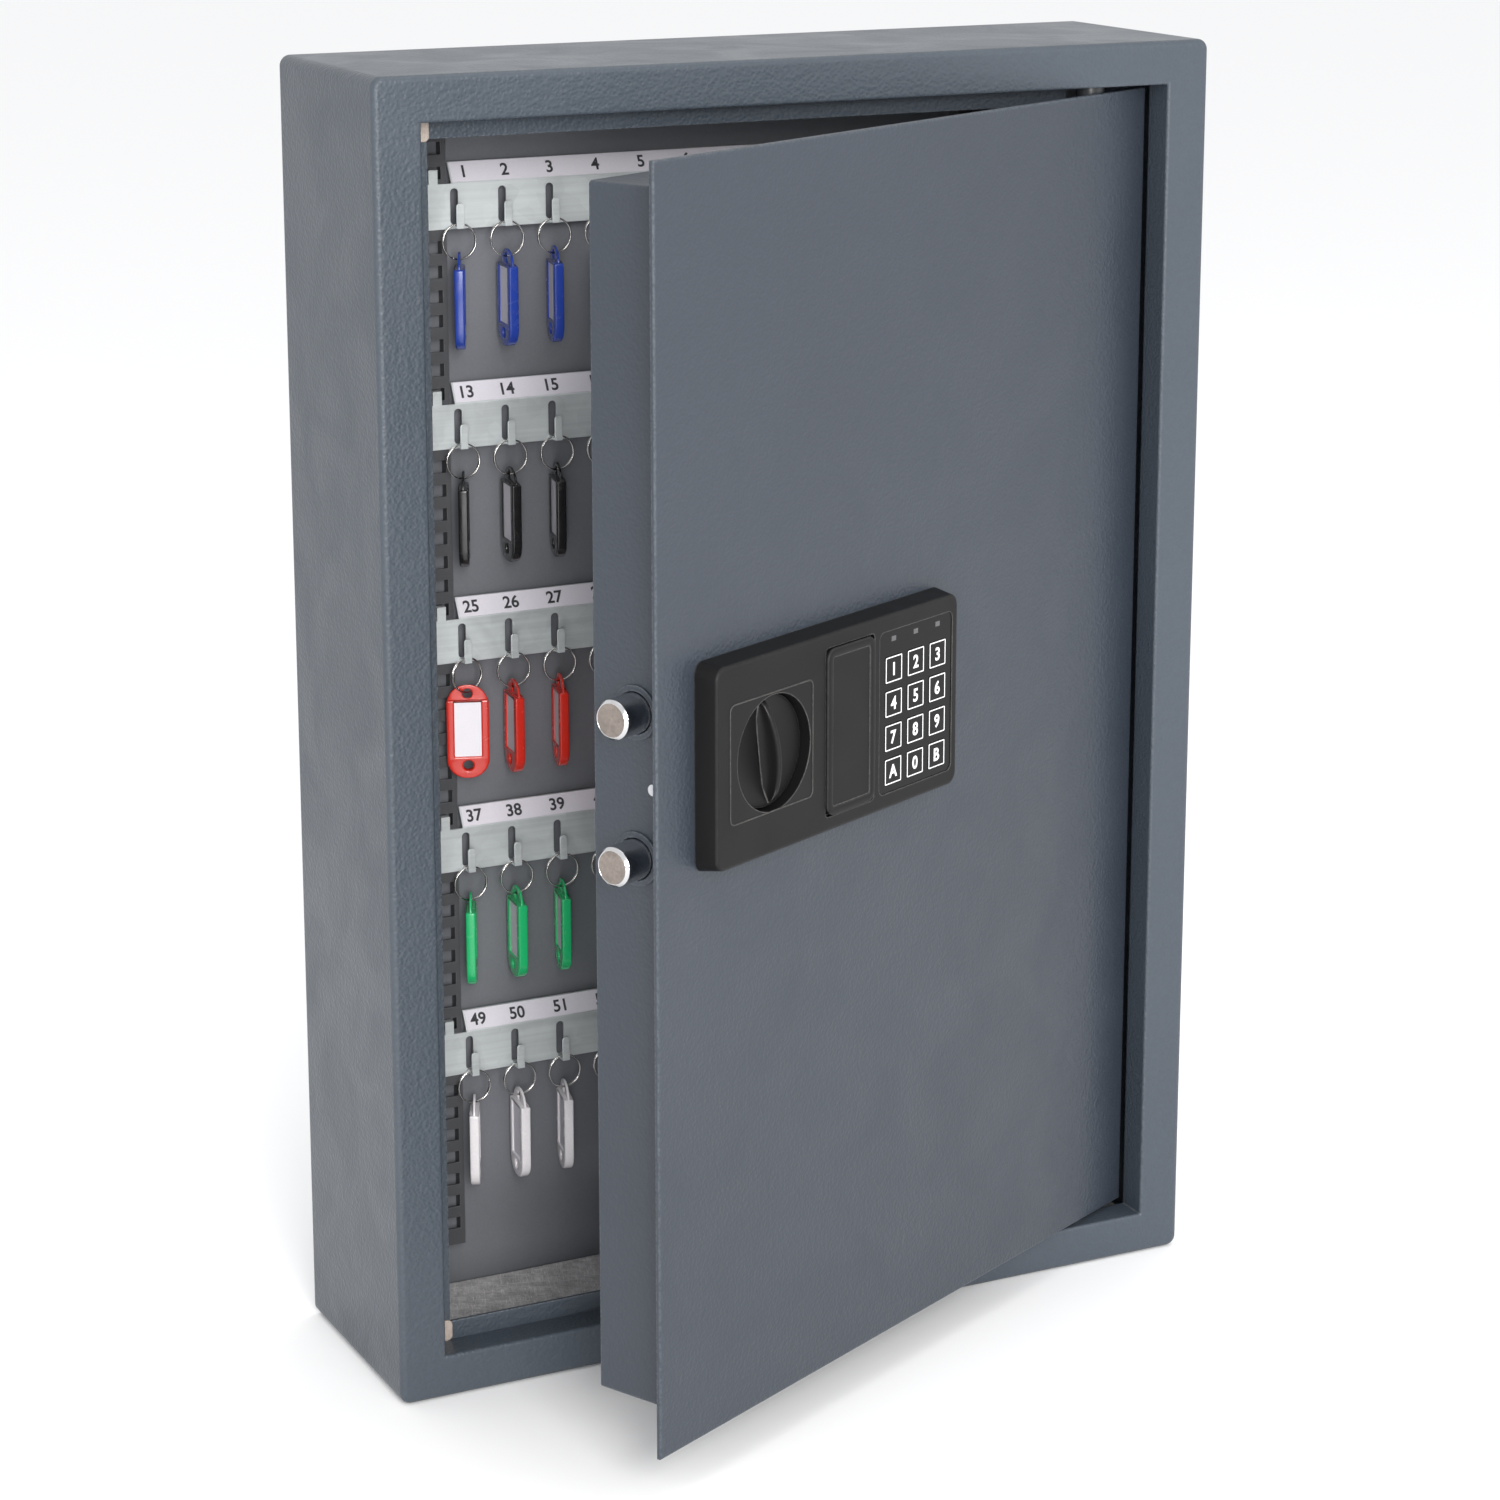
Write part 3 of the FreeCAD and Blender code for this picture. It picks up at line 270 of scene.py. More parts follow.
# rolling or grinding lines drawn out along one direction, with small scratches
def makeBrushedGroup():
    group, source, sink = newGroup(
        "drawnMetal",
        [("Colour", "NodeSocketColor", (0.6, 0.6, 0.6, 1)),
         ("Stretch", "NodeSocketVector", (12.0, 900.0, 900.0)),
         ("Tone Spread", "NodeSocketFloat", 0.15)],
        [("Colour", "NodeSocketColor"), ("Height", "NodeSocketFloat"), ("Lines", "NodeSocketFloat")])
    coords = addNode(group, "ShaderNodeTexCoord", (-900, 0))
    stretched = addNode(group, "ShaderNodeVectorMath", (-700, 0), operation="MULTIPLY")
    lines = addNode(group, "ShaderNodeTexNoise", (-500, 100))
    lines.inputs["Scale"].default_value = 1.0
    lines.inputs["Detail"].default_value = 4.0
    patches = addNode(group, "ShaderNodeTexVoronoi", (-500, -200))
    patches.inputs["Scale"].default_value = 160.0
    joinSockets(group, [(coords.outputs["Object"], stretched.inputs[0]),
                        (source.outputs["Stretch"], stretched.inputs[1]),
                        (stretched.outputs[0], lines.inputs["Vector"]),
                        (coords.outputs["Object"], patches.inputs["Vector"])])
    split = addNode(group, "ShaderNodeSeparateColor", (-300, -200))
    joinSockets(group, [(patches.outputs["Color"], split.inputs[0])])
    spangle = mathNode(group, "MULTIPLY", split.outputs[0], 0.5, (-100, -200))
    both = mathNode(group, "ADD", remap(group, lines.outputs[0], 0.3, 0.7, -0.5, 0.5, (-100, 100)), spangle,
                    (100, 0))
    light = mathNode(group, "ADD", mathNode(group, "MULTIPLY", both, source.outputs["Tone Spread"], (250, 0)),
                     1.0, (400, 0))
    shade = addNode(group, "ShaderNodeVectorMath", (600, 0), operation="SCALE")
    joinSockets(group, [(source.outputs["Colour"], shade.inputs[0]), (light, shade.inputs["Scale"]),
                        (shade.outputs[0], sink.inputs["Colour"]), (lines.outputs[0], sink.inputs["Height"]),
                        (both, sink.inputs["Lines"])])
    return group


# a thin film of handling marks and dust that changes the gloss in soft patches
def makeSmudgeGroup():
    group, source, sink = newGroup(
        "handling",
        [("Smooth", "NodeSocketFloat", 0.2), ("Dull", "NodeSocketFloat", 0.4),
         ("Scale", "NodeSocketFloat", 25.0)],
        [("Roughness", "NodeSocketFloat"), ("Mask", "NodeSocketFloat")])
    coords = addNode(group, "ShaderNodeTexCoord", (-900, 0))
    smear = addNode(group, "ShaderNodeTexNoise", (-600, 0))
    smear.inputs["Detail"].default_value = 6.0
    smear.inputs["Distortion"].default_value = 0.8
    joinSockets(group, [(coords.outputs["Object"], smear.inputs["Vector"]),
                        (source.outputs["Scale"], smear.inputs["Scale"])])
    mask = remap(group, smear.outputs[0], 0.35, 0.68, 0.0, 1.0, (-300, 0))
    rough = remap(group, mask, 0.0, 1.0, source.outputs["Smooth"], source.outputs["Dull"], (0, 0))
    joinSockets(group, [(rough, sink.inputs["Roughness"]), (mask, sink.inputs["Mask"])])
    return group


edgeGroup = makeEdgeGroup()
grainGroup = makeGrainGroup()
brushedGroup = makeBrushedGroup()
smudgeGroup = makeSmudgeGroup()


def placeGroup(tree, group, place, values):
    node = addNode(tree, "ShaderNodeGroup", place, node_tree=group)
    for name, value in values.items():
        node.inputs[name].default_value = value
    return node


def newMaterial(name):
    material = bpy.data.materials.new(name)
    material.use_nodes = True
    return material, material.node_tree, material.node_tree.nodes["Principled BSDF"]


def colourOf(rgb):
    return (rgb[0], rgb[1], rgb[2], 1.0)


# paint or moulded plastic: grain, gloss patches and a painted highlight along the edges
def coatedMaterial(name, v):
    material, tree, shader = newMaterial(name)
    grain = placeGroup(tree, grainGroup, (-900, 200),
                       {"Colour": colourOf(v["colour"]), "Grain Size": v["grainSize"],
                        "Tone Spread": v["toneSpread"]})
    edge = placeGroup(tree, edgeGroup, (-900, -100),
                      {"Radius": v["edgeRadius"], "Patchiness": v.get("patchiness", 0.5),
                       "Patch Scale": v.get("patchScale", 400.0)})
    smudge = placeGroup(tree, smudgeGroup, (-900, -400),
                        {"Smooth": v["smooth"], "Dull": v["dull"], "Scale": v.get("smudgeScale", 25.0)})
    # painted highlight: a lighter colour mixed in along the edges, broken in patches
    share = mathNode(tree, "MULTIPLY", edge.outputs["Mask"], v["edgeHighlightShare"], (-600, 0))
    colour = mixColour(tree, share, grain.outputs["Colour"], colourOf(v["edgeHighlightColour"]), (-400, 200))
    bump = addNode(tree, "ShaderNodeBump", (-300, -200))
    bump.inputs["Strength"].default_value = v["bumpStrength"]
    bump.inputs["Distance"].default_value = v["bumpDistance"]
    joinSockets(tree, [(colour, shader.inputs["Base Color"]),
                       (smudge.outputs["Roughness"], shader.inputs["Roughness"]),
                       (grain.outputs["Height"], bump.inputs["Height"]),
                       (edge.outputs["Normal"], bump.inputs["Normal"]),
                       (bump.outputs[0], shader.inputs["Normal"])])
    shader.inputs["Specular IOR Level"].default_value = v.get("specular", 0.5)
    shader.inputs["Coat Weight"].default_value = v.get("coat", 0.0)
    shader.inputs["Coat Roughness"].default_value = v.get("coatRoughness", 0.1)
    return material


# bare or plated metal: drawn lines, dull patches and a painted highlight along the edges
def metalMaterial(name, v):
    material, tree, shader = newMaterial(name)
    drawn = placeGroup(tree, brushedGroup, (-900, 200),
                       {"Colour": colourOf(v["colour"]), "Stretch": v["stretch"],
                        "Tone Spread": v["toneSpread"]})
    edge = placeGroup(tree, edgeGroup, (-900, -100),
                      {"Radius": v["edgeRadius"], "Patchiness": 0.3, "Patch Scale": 500.0})
    smudge = placeGroup(tree, smudgeGroup, (-900, -400),
                        {"Smooth": v["smooth"], "Dull": v["dull"], "Scale": v.get("smudgeScale", 40.0)})
    # painted highlight: a lighter colour mixed in along the edges, broken in patches
    share = mathNode(tree, "MULTIPLY", edge.outputs["Mask"], v["edgeHighlightShare"], (-600, 0))
    colour = mixColour(tree, share, drawn.outputs["Colour"], colourOf(v["edgeHighlightColour"]), (-400, 200))
    bump = addNode(tree, "ShaderNodeBump", (-300, -200))
    bump.inputs["Strength"].default_value = v["bumpStrength"]
    bump.inputs["Distance"].default_value = v["bumpDistance"]
    joinSockets(tree, [(colour, shader.inputs["Base Color"]),
                       (smudge.outputs["Roughness"], shader.inputs["Roughness"]),
                       (drawn.outputs["Height"], bump.inputs["Height"]),
                       (edge.outputs["Normal"], bump.inputs["Normal"]),
                       (bump.outputs[0], shader.inputs["Normal"])])
    shader.inputs["Metallic"].default_value = v.get("metallic", 1.0)
    return material


finishes = {
    "cabinetPaint": {"colour": (0.047, 0.059, 0.075), "grainSize": 0.0014, "toneSpread": 0.09, "smooth": 0.36,
                     "dull": 0.46,
                     "edgeRadius": 0.0011, "edgeHighlightShare": 0.6, "edgeHighlightColour": (0.26, 0.29, 0.32),
                     "patchiness": 0.9, "patchScale": 900.0,
                     "bumpStrength": 0.5, "bumpDistance": 0.0004},
    # the cabinet's powder coat made darker for the door pieces: painted shade
    "doorPaint": {"colour": (0.029, 0.037, 0.050), "grainSize": 0.0014, "toneSpread": 0.08, "smooth": 0.36,
                  "dull": 0.46,
                  "edgeRadius": 0.0011, "edgeHighlightShare": 0.6, "edgeHighlightColour": (0.25, 0.28, 0.31), "patchiness": 0.9,
                  "patchScale": 900.0,
                  "bumpStrength": 0.45, "bumpDistance": 0.0004},
    "insidePaint": {"colour": (0.165, 0.172, 0.19), "grainSize": 0.0011, "toneSpread": 0.08, "smooth": 0.42,
                    "dull": 0.55,
                    "edgeRadius": 0.0005, "edgeHighlightShare": 0.35, "edgeHighlightColour": (0.3, 0.31, 0.33),
                    "bumpStrength": 0.15, "bumpDistance": 0.00015},
    "railPaint": {"colour": (0.07, 0.072, 0.078), "grainSize": 0.0008, "toneSpread": 0.1, "smooth": 0.38,
                  "dull": 0.5,
                  "edgeRadius": 0.0004, "edgeHighlightShare": 0.6, "edgeHighlightColour": (0.3, 0.31, 0.33),
                  "bumpStrength": 0.12, "bumpDistance": 0.0001},
    "filler": {"colour": (0.4, 0.34, 0.3), "grainSize": 0.0009, "toneSpread": 0.2, "smooth": 0.6,
               "dull": 0.75,
               "edgeRadius": 0.0012, "edgeHighlightShare": 0.3, "edgeHighlightColour": (0.55, 0.5, 0.46), "bumpStrength": 0.3,
               "bumpDistance": 0.0002},
    "panelBlack": {"specular": 0.16, "colour": (0.0075, 0.0074, 0.008), "grainSize": 0.0005,
                   "toneSpread": 0.12, "smooth": 0.36, "dull": 0.48,
                   "edgeRadius": 0.0007, "edgeHighlightShare": 0.75, "edgeHighlightColour": (0.2, 0.195, 0.185),
                   "patchiness": 0.3,
                   "bumpStrength": 0.15, "bumpDistance": 0.00006},
    "keypadGloss": {"specular": 0.18, "colour": (0.004, 0.004, 0.0045), "grainSize": 0.0007,
                    "toneSpread": 0.05, "smooth": 0.16, "dull": 0.3,
                    "edgeRadius": 0.0004, "edgeHighlightShare": 0.5, "edgeHighlightColour": (0.12, 0.12, 0.12),
                    "bumpStrength": 0.05, "bumpDistance": 0.00003},
    "lampWindow": {"colour": (0.075, 0.075, 0.08), "grainSize": 0.0006, "toneSpread": 0.3, "smooth": 0.2,
                   "dull": 0.35,
                   "edgeRadius": 0.0003, "edgeHighlightShare": 0.2, "edgeHighlightColour": (0.3, 0.3, 0.3), "bumpStrength": 0.1,
                   "bumpDistance": 0.00005},
    "print": {"colour": (0.86, 0.86, 0.86), "grainSize": 0.0005, "toneSpread": 0.03, "smooth": 0.4,
              "dull": 0.5,
              "edgeRadius": 0.0001, "edgeHighlightShare": 0.1, "edgeHighlightColour": (0.9, 0.9, 0.9), "bumpStrength": 0.05,
              "bumpDistance": 0.00002},
    "numberInk": {"colour": (0.035, 0.035, 0.042), "grainSize": 0.0004, "toneSpread": 0.2, "smooth": 0.5,
                  "dull": 0.6,
                  "edgeRadius": 0.0001, "edgeHighlightShare": 0.1, "edgeHighlightColour": (0.08, 0.08, 0.09),
                  "bumpStrength": 0.05, "bumpDistance": 0.00002},
    "stripCard": {"colour": (0.8, 0.77, 0.84), "grainSize": 0.0005, "toneSpread": 0.05, "smooth": 0.35,
                  "dull": 0.5,
                  "edgeRadius": 0.0003, "edgeHighlightShare": 0.4, "edgeHighlightColour": (0.85, 0.84, 0.88),
                  "bumpStrength": 0.06, "bumpDistance": 0.00003},
    "labelCard": {"colour": (0.84, 0.81, 0.87), "grainSize": 0.0004, "toneSpread": 0.06, "smooth": 0.3,
                  "dull": 0.42,
                  "edgeRadius": 0.0003, "edgeHighlightShare": 0.3, "edgeHighlightColour": (0.8, 0.8, 0.84),
                  "bumpStrength": 0.05, "bumpDistance": 0.00003,
                  "coat": 0.8, "coatRoughness": 0.08},
    "bushBlack": {"colour": (0.03, 0.032, 0.036), "grainSize": 0.0006, "toneSpread": 0.15, "smooth": 0.3,
                  "dull": 0.45,
                  "edgeRadius": 0.0004, "edgeHighlightShare": 0.4, "edgeHighlightColour": (0.2, 0.2, 0.22), "bumpStrength": 0.1,
                  "bumpDistance": 0.00005},
    "boardGreen": {"colour": (0.02, 0.13, 0.055), "grainSize": 0.002, "toneSpread": 0.35, "smooth": 0.25,
                   "dull": 0.4,
                   "edgeRadius": 0.0003, "edgeHighlightShare": 0.3, "edgeHighlightColour": (0.3, 0.28, 0.12),
                   "bumpStrength": 0.1, "bumpDistance": 0.0001},
    "cellWrap": {"colour": (0.06, 0.075, 0.1), "grainSize": 0.001, "toneSpread": 0.1, "smooth": 0.15,
                 "dull": 0.28,
                 "edgeRadius": 0.0005, "edgeHighlightShare": 0.5, "edgeHighlightColour": (0.5, 0.45, 0.3), "bumpStrength": 0.05,
                 "bumpDistance": 0.00003},
}
tagColours = {"tagBlue": (0.022, 0.055, 0.34), "tagBlack": (0.012, 0.012, 0.013),
              "tagRed": (0.66, 0.028, 0.016),
              "tagGreen": (0.02, 0.5, 0.17), "tagWhite": (0.88, 0.85, 0.88)}
metals = {
    "galvanised": {"colour": (0.68, 0.72, 0.73), "stretch": (9.0, 300.0, 500.0), "toneSpread": 0.16,
                   "smooth": 0.4, "dull": 0.56, "metallic": 0.5,
                   "edgeRadius": 0.0003, "edgeHighlightShare": 0.6, "edgeHighlightColour": (0.9, 0.93, 0.93),
                   "bumpStrength": 0.12, "bumpDistance": 0.00005},
    "zincPlate": {"colour": (0.5, 0.51, 0.54), "stretch": (300.0, 300.0, 20.0), "toneSpread": 0.25,
                  "smooth": 0.3, "dull": 0.5,
                  "edgeRadius": 0.0004, "edgeHighlightShare": 0.5, "edgeHighlightColour": (0.8, 0.8, 0.82),
                  "bumpStrength": 0.12, "bumpDistance": 0.00006},
    "turnedSteel": {"colour": (0.42, 0.42, 0.43), "stretch": (500.0, 500.0, 500.0), "toneSpread": 0.2,
                    "smooth": 0.25, "dull": 0.42,
                    "edgeRadius": 0.0003, "edgeHighlightShare": 0.5, "edgeHighlightColour": (0.8, 0.8, 0.8),
                    "bumpStrength": 0.1, "bumpDistance": 0.00005},
    "boltChrome": {"colour": (0.62, 0.62, 0.63), "stretch": (900.0, 120.0, 120.0), "toneSpread": 0.1,
                   "smooth": 0.07, "dull": 0.16,
                   "edgeRadius": 0.0003, "edgeHighlightShare": 0.5, "edgeHighlightColour": (0.95, 0.95, 0.95),
                   "bumpStrength": 0.04, "bumpDistance": 0.00003},
    # a darker, brownish colour on the bolt end faces: painted reflection
    "boltEnd": {"colour": (0.27, 0.235, 0.21), "stretch": (60.0, 700.0, 700.0), "toneSpread": 0.3,
                "smooth": 0.18, "dull": 0.34,
                "edgeRadius": 0.0003, "edgeHighlightShare": 0.5, "edgeHighlightColour": (0.9, 0.88, 0.86), "bumpStrength": 0.06,
                "bumpDistance": 0.00003},
    "ringWire": {"colour": (0.7, 0.68, 0.66), "stretch": (700.0, 700.0, 700.0), "toneSpread": 0.2,
                 "smooth": 0.1, "dull": 0.24,
                 "edgeRadius": 0.0001, "edgeHighlightShare": 0.3, "edgeHighlightColour": (0.9, 0.9, 0.9), "bumpStrength": 0.05,
                 "bumpDistance": 0.00002},
    "turnedBrass": {"colour": (0.68, 0.5, 0.22), "stretch": (500.0, 60.0, 500.0), "toneSpread": 0.25,
                    "smooth": 0.2, "dull": 0.38,
                    "edgeRadius": 0.0003, "edgeHighlightShare": 0.5, "edgeHighlightColour": (0.9, 0.78, 0.5),
                    "bumpStrength": 0.08, "bumpDistance": 0.00004},
}
materials = {name: coatedMaterial(name, v) for name, v in finishes.items()}
for name, colour in tagColours.items():
    # painted highlight: a lighter copy of the tag colour for the tag edges
    tagEdgeHighlight = tuple(min(1.0, c * 1.6 + 0.12) for c in colour)
    materials[name] = coatedMaterial(name, {
        "colour": colour, "grainSize": 0.0006, "toneSpread": 0.08, "smooth": 0.14, "dull": 0.3,
                                            "smudgeScale": 180.0,
        "edgeRadius": 0.0004, "edgeHighlightShare": 0.12, "edgeHighlightColour": tagEdgeHighlight, "bumpStrength": 0.06,
                                            "bumpDistance": 0.00004,
        "coat": 0.35, "coatRoughness": 0.12})
materials.update({name: metalMaterial(name, v) for name, v in metals.items()})


# needled felt: fibres run every way, over soft light and dark mottling
def feltMaterial(v):
    material, tree, shader = newMaterial("felt")
    coords = addNode(tree, "ShaderNodeTexCoord", (-1300, 0))
    mottle = addNode(tree, "ShaderNodeTexNoise", (-900, 300))
    mottle.inputs["Scale"].default_value = v["mottleScale"]
    mottle.inputs["Detail"].default_value = 7.0
    mottle.inputs["Roughness"].default_value = 0.7
    ramp = addNode(tree, "ShaderNodeValToRGB", (-650, 300))
    ramp.color_ramp.elements[0].position, ramp.color_ramp.elements[0].color = 0.34, colourOf(v["dark"])
    ramp.color_ramp.elements[1].position, ramp.color_ramp.elements[1].color = 0.66, colourOf(v["light"])
    fibres = []
    for turn, place in ((0.4, 0), (1.9, -250)):
        rotate = addNode(tree, "ShaderNodeVectorRotate", (-1100, place), rotation_type="Z_AXIS")
        rotate.inputs["Angle"].default_value = turn
        squeeze = addNode(tree, "ShaderNodeVectorMath", (-900, place), operation="MULTIPLY")
        squeeze.inputs[1].default_value = v["fibreStretch"]
        strand = addNode(tree, "ShaderNodeTexNoise", (-700, place))
        strand.inputs["Scale"].default_value = 1.0
        strand.inputs["Detail"].default_value = 3.0
        strand.inputs["Distortion"].default_value = 1.5
        joinSockets(tree, [(coords.outputs["Object"], rotate.inputs["Vector"]),
                           (rotate.outputs[0], squeeze.inputs[0]),
                           (squeeze.outputs[0], strand.inputs["Vector"])])
        fibres.append(strand.outputs[0])
    height = mathNode(tree, "MAXIMUM", fibres[0], fibres[1], (-450, -100))
    lit = remap(tree, height, 0.4, 0.75, 0.55, 1.35, (-250, -100))
    shade = addNode(tree, "ShaderNodeVectorMath", (-100, 200), operation="SCALE")
    bump = addNode(tree, "ShaderNodeBump", (-100, -300))
    bump.inputs["Strength"].default_value = 0.8
    bump.inputs["Distance"].default_value = 0.0006
    joinSockets(tree, [(coords.outputs["Object"], mottle.inputs["Vector"]),
                       (mottle.outputs[0], ramp.inputs[0]),
                       (ramp.outputs[0], shade.inputs[0]), (lit, shade.inputs["Scale"]),
                       (shade.outputs[0], shader.inputs["Base Color"]),
                       (height, bump.inputs["Height"]), (bump.outputs[0], shader.inputs["Normal"])])
    shader.inputs["Roughness"].default_value = 0.95
    shader.inputs["Sheen Weight"].default_value = 0.25
    shader.inputs["Sheen Roughness"].default_value = 0.5
    shader.inputs["Specular IOR Level"].default_value = 0.2
    return material


materials["felt"] = feltMaterial({"mottleScale": 160.0, "dark": (0.45, 0.44, 0.45),
                                  "light": (0.78, 0.76, 0.77), "fibreStretch": (140.0, 1500.0, 800.0)})
print("materials made:", len(materials))

# finishes on the pieces that keep their own shape
nodeFinish = {
    "cabinet_shell": "cabinetPaint", "back_panel": "insidePaint", "door_stop_frame": "cabinetPaint",
              "corner_pads": "filler",
    "hinge_brackets": "zincPlate", "hinge_bushes": "bushBlack", "slotted_rails": "railPaint",
              "number_strips": "stripCard",
    "door_plate": "doorPaint", "door_tray": "doorPaint", "door_back_cover": "doorPaint",
              "back_cover_screws": "zincPlate",
    "hinge_pins": "turnedSteel", "side_rivet": "zincPlate", "carriage_guides": "turnedSteel",
              "bolt_carriage": "zincPlate",
    "spindle_cam": "turnedSteel", "solenoid_body": "zincPlate", "solenoid_plunger": "turnedSteel",
              "lock_housing": "panelBlack",
    "keypad_frame": "keypadGloss", "indicator_windows": "lampWindow", "emergency_cylinder": "turnedBrass",
    "emergency_plug": "turnedBrass", "circuit_board": "boardGreen", "battery_box": "panelBlack",
              "batteries": "cellWrap",
    "battery_lid": "panelBlack",
}
nodeFinish.update({name: "galvanised" for name in nodes if name.startswith("hook_bar_")})
nodeFinish.update({name: "keypadGloss" for name in nodes if name.startswith("key_") and len(name) == 5})
for name, finish in nodeFinish.items():
    for materialSlot in nodes[name].material_slots:
        materialSlot.material = materials[finish]
print("finishes set on", len(nodeFinish), "kept pieces")


# mesh helpers
def newPiece(name, points, faces, finish, smoothAngle=40.0):
    mesh = bpy.data.meshes.new(name)
    mesh.from_pydata([tuple(p) for p in points], [], faces)
    mesh.validate()
    piece = bpy.data.objects.new(name, mesh)
    bpy.context.scene.collection.objects.link(piece)
    for one in finish if isinstance(finish, (list, tuple)) else [finish]:
        mesh.materials.append(materials[one])
    tidyNormals(mesh)
    mesh.shade_smooth()
    mesh.set_sharp_from_angle(angle=math.radians(smoothAngle))
    return piece


def tidyNormals(mesh):
    work = bmesh.new()
    work.from_mesh(mesh)
    bmesh.ops.recalc_face_normals(work, faces=work.faces)
    work.to_mesh(mesh)
    work.free()


# parts are (points, faces) pairs
def joinMeshes(name, parts, finish, smoothAngle=40.0):
    points, faces = [], []
    for morePoints, moreFaces in parts:
        start = len(points)
        points.extend(morePoints)
        faces.extend([tuple(start + i for i in face) for face in moreFaces])
    return newPiece(name, points, faces, finish, smoothAngle)


# faces between rings of points that have the same count
def bridgeRings(rings, closedEnds=True, closedRound=False):
    count = len(rings[0])
    points = [p for ring in rings for p in ring]
    pairs = list(zip(range(len(rings)), range(1, len(rings))))
    if closedRound:
        pairs.append((len(rings) - 1, 0))
    faces = [(a * count + i, a * count + (i + 1) % count, b * count + (i + 1) % count, b * count + i)
             for a, b in pairs for i in range(count)]
    if closedEnds and not closedRound:
        faces.append(tuple(range(count)))
        faces.append(tuple(range((len(rings) - 1) * count, len(rings) * count)))
    return points, faces


# a lathe shape: profile is (distance along the axis, radius)
def turnedAlong(profile, start, along, across, segments=72, **ends):
    along, across = Vector(along), Vector(across)
    third = along.cross(across)
    rings = []
    for distance, radius in profile:
        middle = Vector(start) + along * distance
        rings.append([middle + (across * math.cos(2 * math.pi * i / segments) + third
                                * math.sin(2 * math.pi * i / segments)) * radius
                      for i in range(segments)])
    return bridgeRings(rings, **ends)


# points of a rectangle with round corners, as (x, z) about its middle
def roundedRing(halfWidth, halfHeight, radius, cornerSteps=8):
    radius = max(min(radius, halfWidth, halfHeight), 1e-5)
    ring = []
    for sx, sz, start in ((1, 1, 0), (-1, 1, 90), (-1, -1, 180), (1, -1, 270)):
        for step in range(cornerSteps + 1):
            angle = math.radians(start + 90 * step / cornerSteps)
            ring.append((sx * (halfWidth - radius) + radius * math.cos(angle),
                         sz * (halfHeight - radius) + radius * math.sin(angle)))
    return ring


# a plate facing -Y, built from rings that step in from its outline: steps are (inset, y)
def steppedPlate(centre, halfWidth, halfHeight, radius, steps, closedEnds=True, closedRound=False):
    rings = []
    for inset, y in steps:
        ring = roundedRing(halfWidth - inset, halfHeight - inset, radius - inset)
        rings.append([Vector((centre[0] + x, y, centre[1] + z)) for x, z in ring])
    return bridgeRings(rings, closedEnds, closedRound)


def turnMesh(piece, matrix):
    piece.data.transform(matrix)
    return piece


# the lowest and highest corner of a door piece, as if the door were shut
def shutBox(node):
    back = doorPlace.inverted()
    points = [back @ vertex.co for vertex in nodes[node].data.vertices]
    return (Vector([min(p[i] for p in points) for i in range(3)]),
            Vector([max(p[i] for p in points) for i in range(3)]))


def onDoor(piece, body, slotName, *replaced):
    turnMesh(piece, doorPlace)
    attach(piece, body)
    if replaced:
        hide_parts(*replaced)
    return piece


# letters as (points, faces), lying in the x-y plane with their middle at the origin and rising by depth
def writtenMesh(text, size, boldness, depth):
    data = bpy.data.curves.new("letters", "FONT")
    data.body = text
    data.size = size
    data.align_x, data.align_y = "CENTER", "CENTER"
    data.offset = boldness
    data.extrude = depth / 2
    data.resolution_u = 4
    letters = bpy.data.objects.new("letters", data)
    bpy.context.scene.collection.objects.link(letters)
    mesh = bpy.data.meshes.new_from_object(letters.evaluated_get(bpy.context.evaluated_depsgraph_get()))
    xs, ys = [v.co.x for v in mesh.vertices], [v.co.y for v in mesh.vertices]
    middle = Vector(((min(xs) + max(xs)) / 2, (min(ys) + max(ys)) / 2, 0))
    shape = ([v.co - middle for v in mesh.vertices], [tuple(p.vertices) for p in mesh.polygons])
    bpy.data.objects.remove(letters)
    bpy.data.curves.remove(data)
    bpy.data.meshes.remove(mesh)
    return shape


def placedMesh(shape, matrix):
    return [matrix @ Vector(p) for p in shape[0]], shape[1]


# lock bolts and their bushes
boltValues = {"edge": 1.3 * mm, "dish": 0.25 * mm}
low, high = shutBox("lock_bolts")
boltRadius = (high.y - low.y) / 2
boltHeights = (low.z + boltRadius, high.z - boltRadius)
boltParts = []
endParts = []
for height in boltHeights:
    r, e = boltRadius, boltValues["edge"]
    profile = [(e * 0.12, r - e * 1.1), (0, r - e), (e * 0.12, r - e * 0.82), (e * 0.9, r - e * 0.08),
               (e * 1.15, r), (high.x - low.x, r)]
    boltParts.append(turnedAlong(profile, (low.x, low.y + r, height), (1, 0, 0), (0, 1, 0), closedEnds=False))
    endProfile = [(e * 0.12, r - e * 1.1), (boltValues["dish"], (r - e) * 0.55),
                  (boltValues["dish"] * 1.1, (r - e) * 0.2),
                  (boltValues["dish"] * 1.1, 0.00002)]
    endParts.append(turnedAlong(endProfile, (low.x, low.y + r, height), (1, 0, 0), (0, 1, 0),
                                closedEnds=False))
    cap = turnedAlong([(high.x - low.x, r), (high.x - low.x, 0.00002)], (low.x, low.y + r, height), (1, 0, 0),
                      (0, 1, 0), closedEnds=False)
    boltParts.append(cap)
onDoor(joinMeshes("bolts", boltParts, "boltChrome", 25), "bolts", "chrome", "lock_bolts")
# the bolt end faces carry a painted dark reflection in their colour
onDoor(joinMeshes("boltEnds", endParts, "boltEnd", 25), "bolts", "chrome")

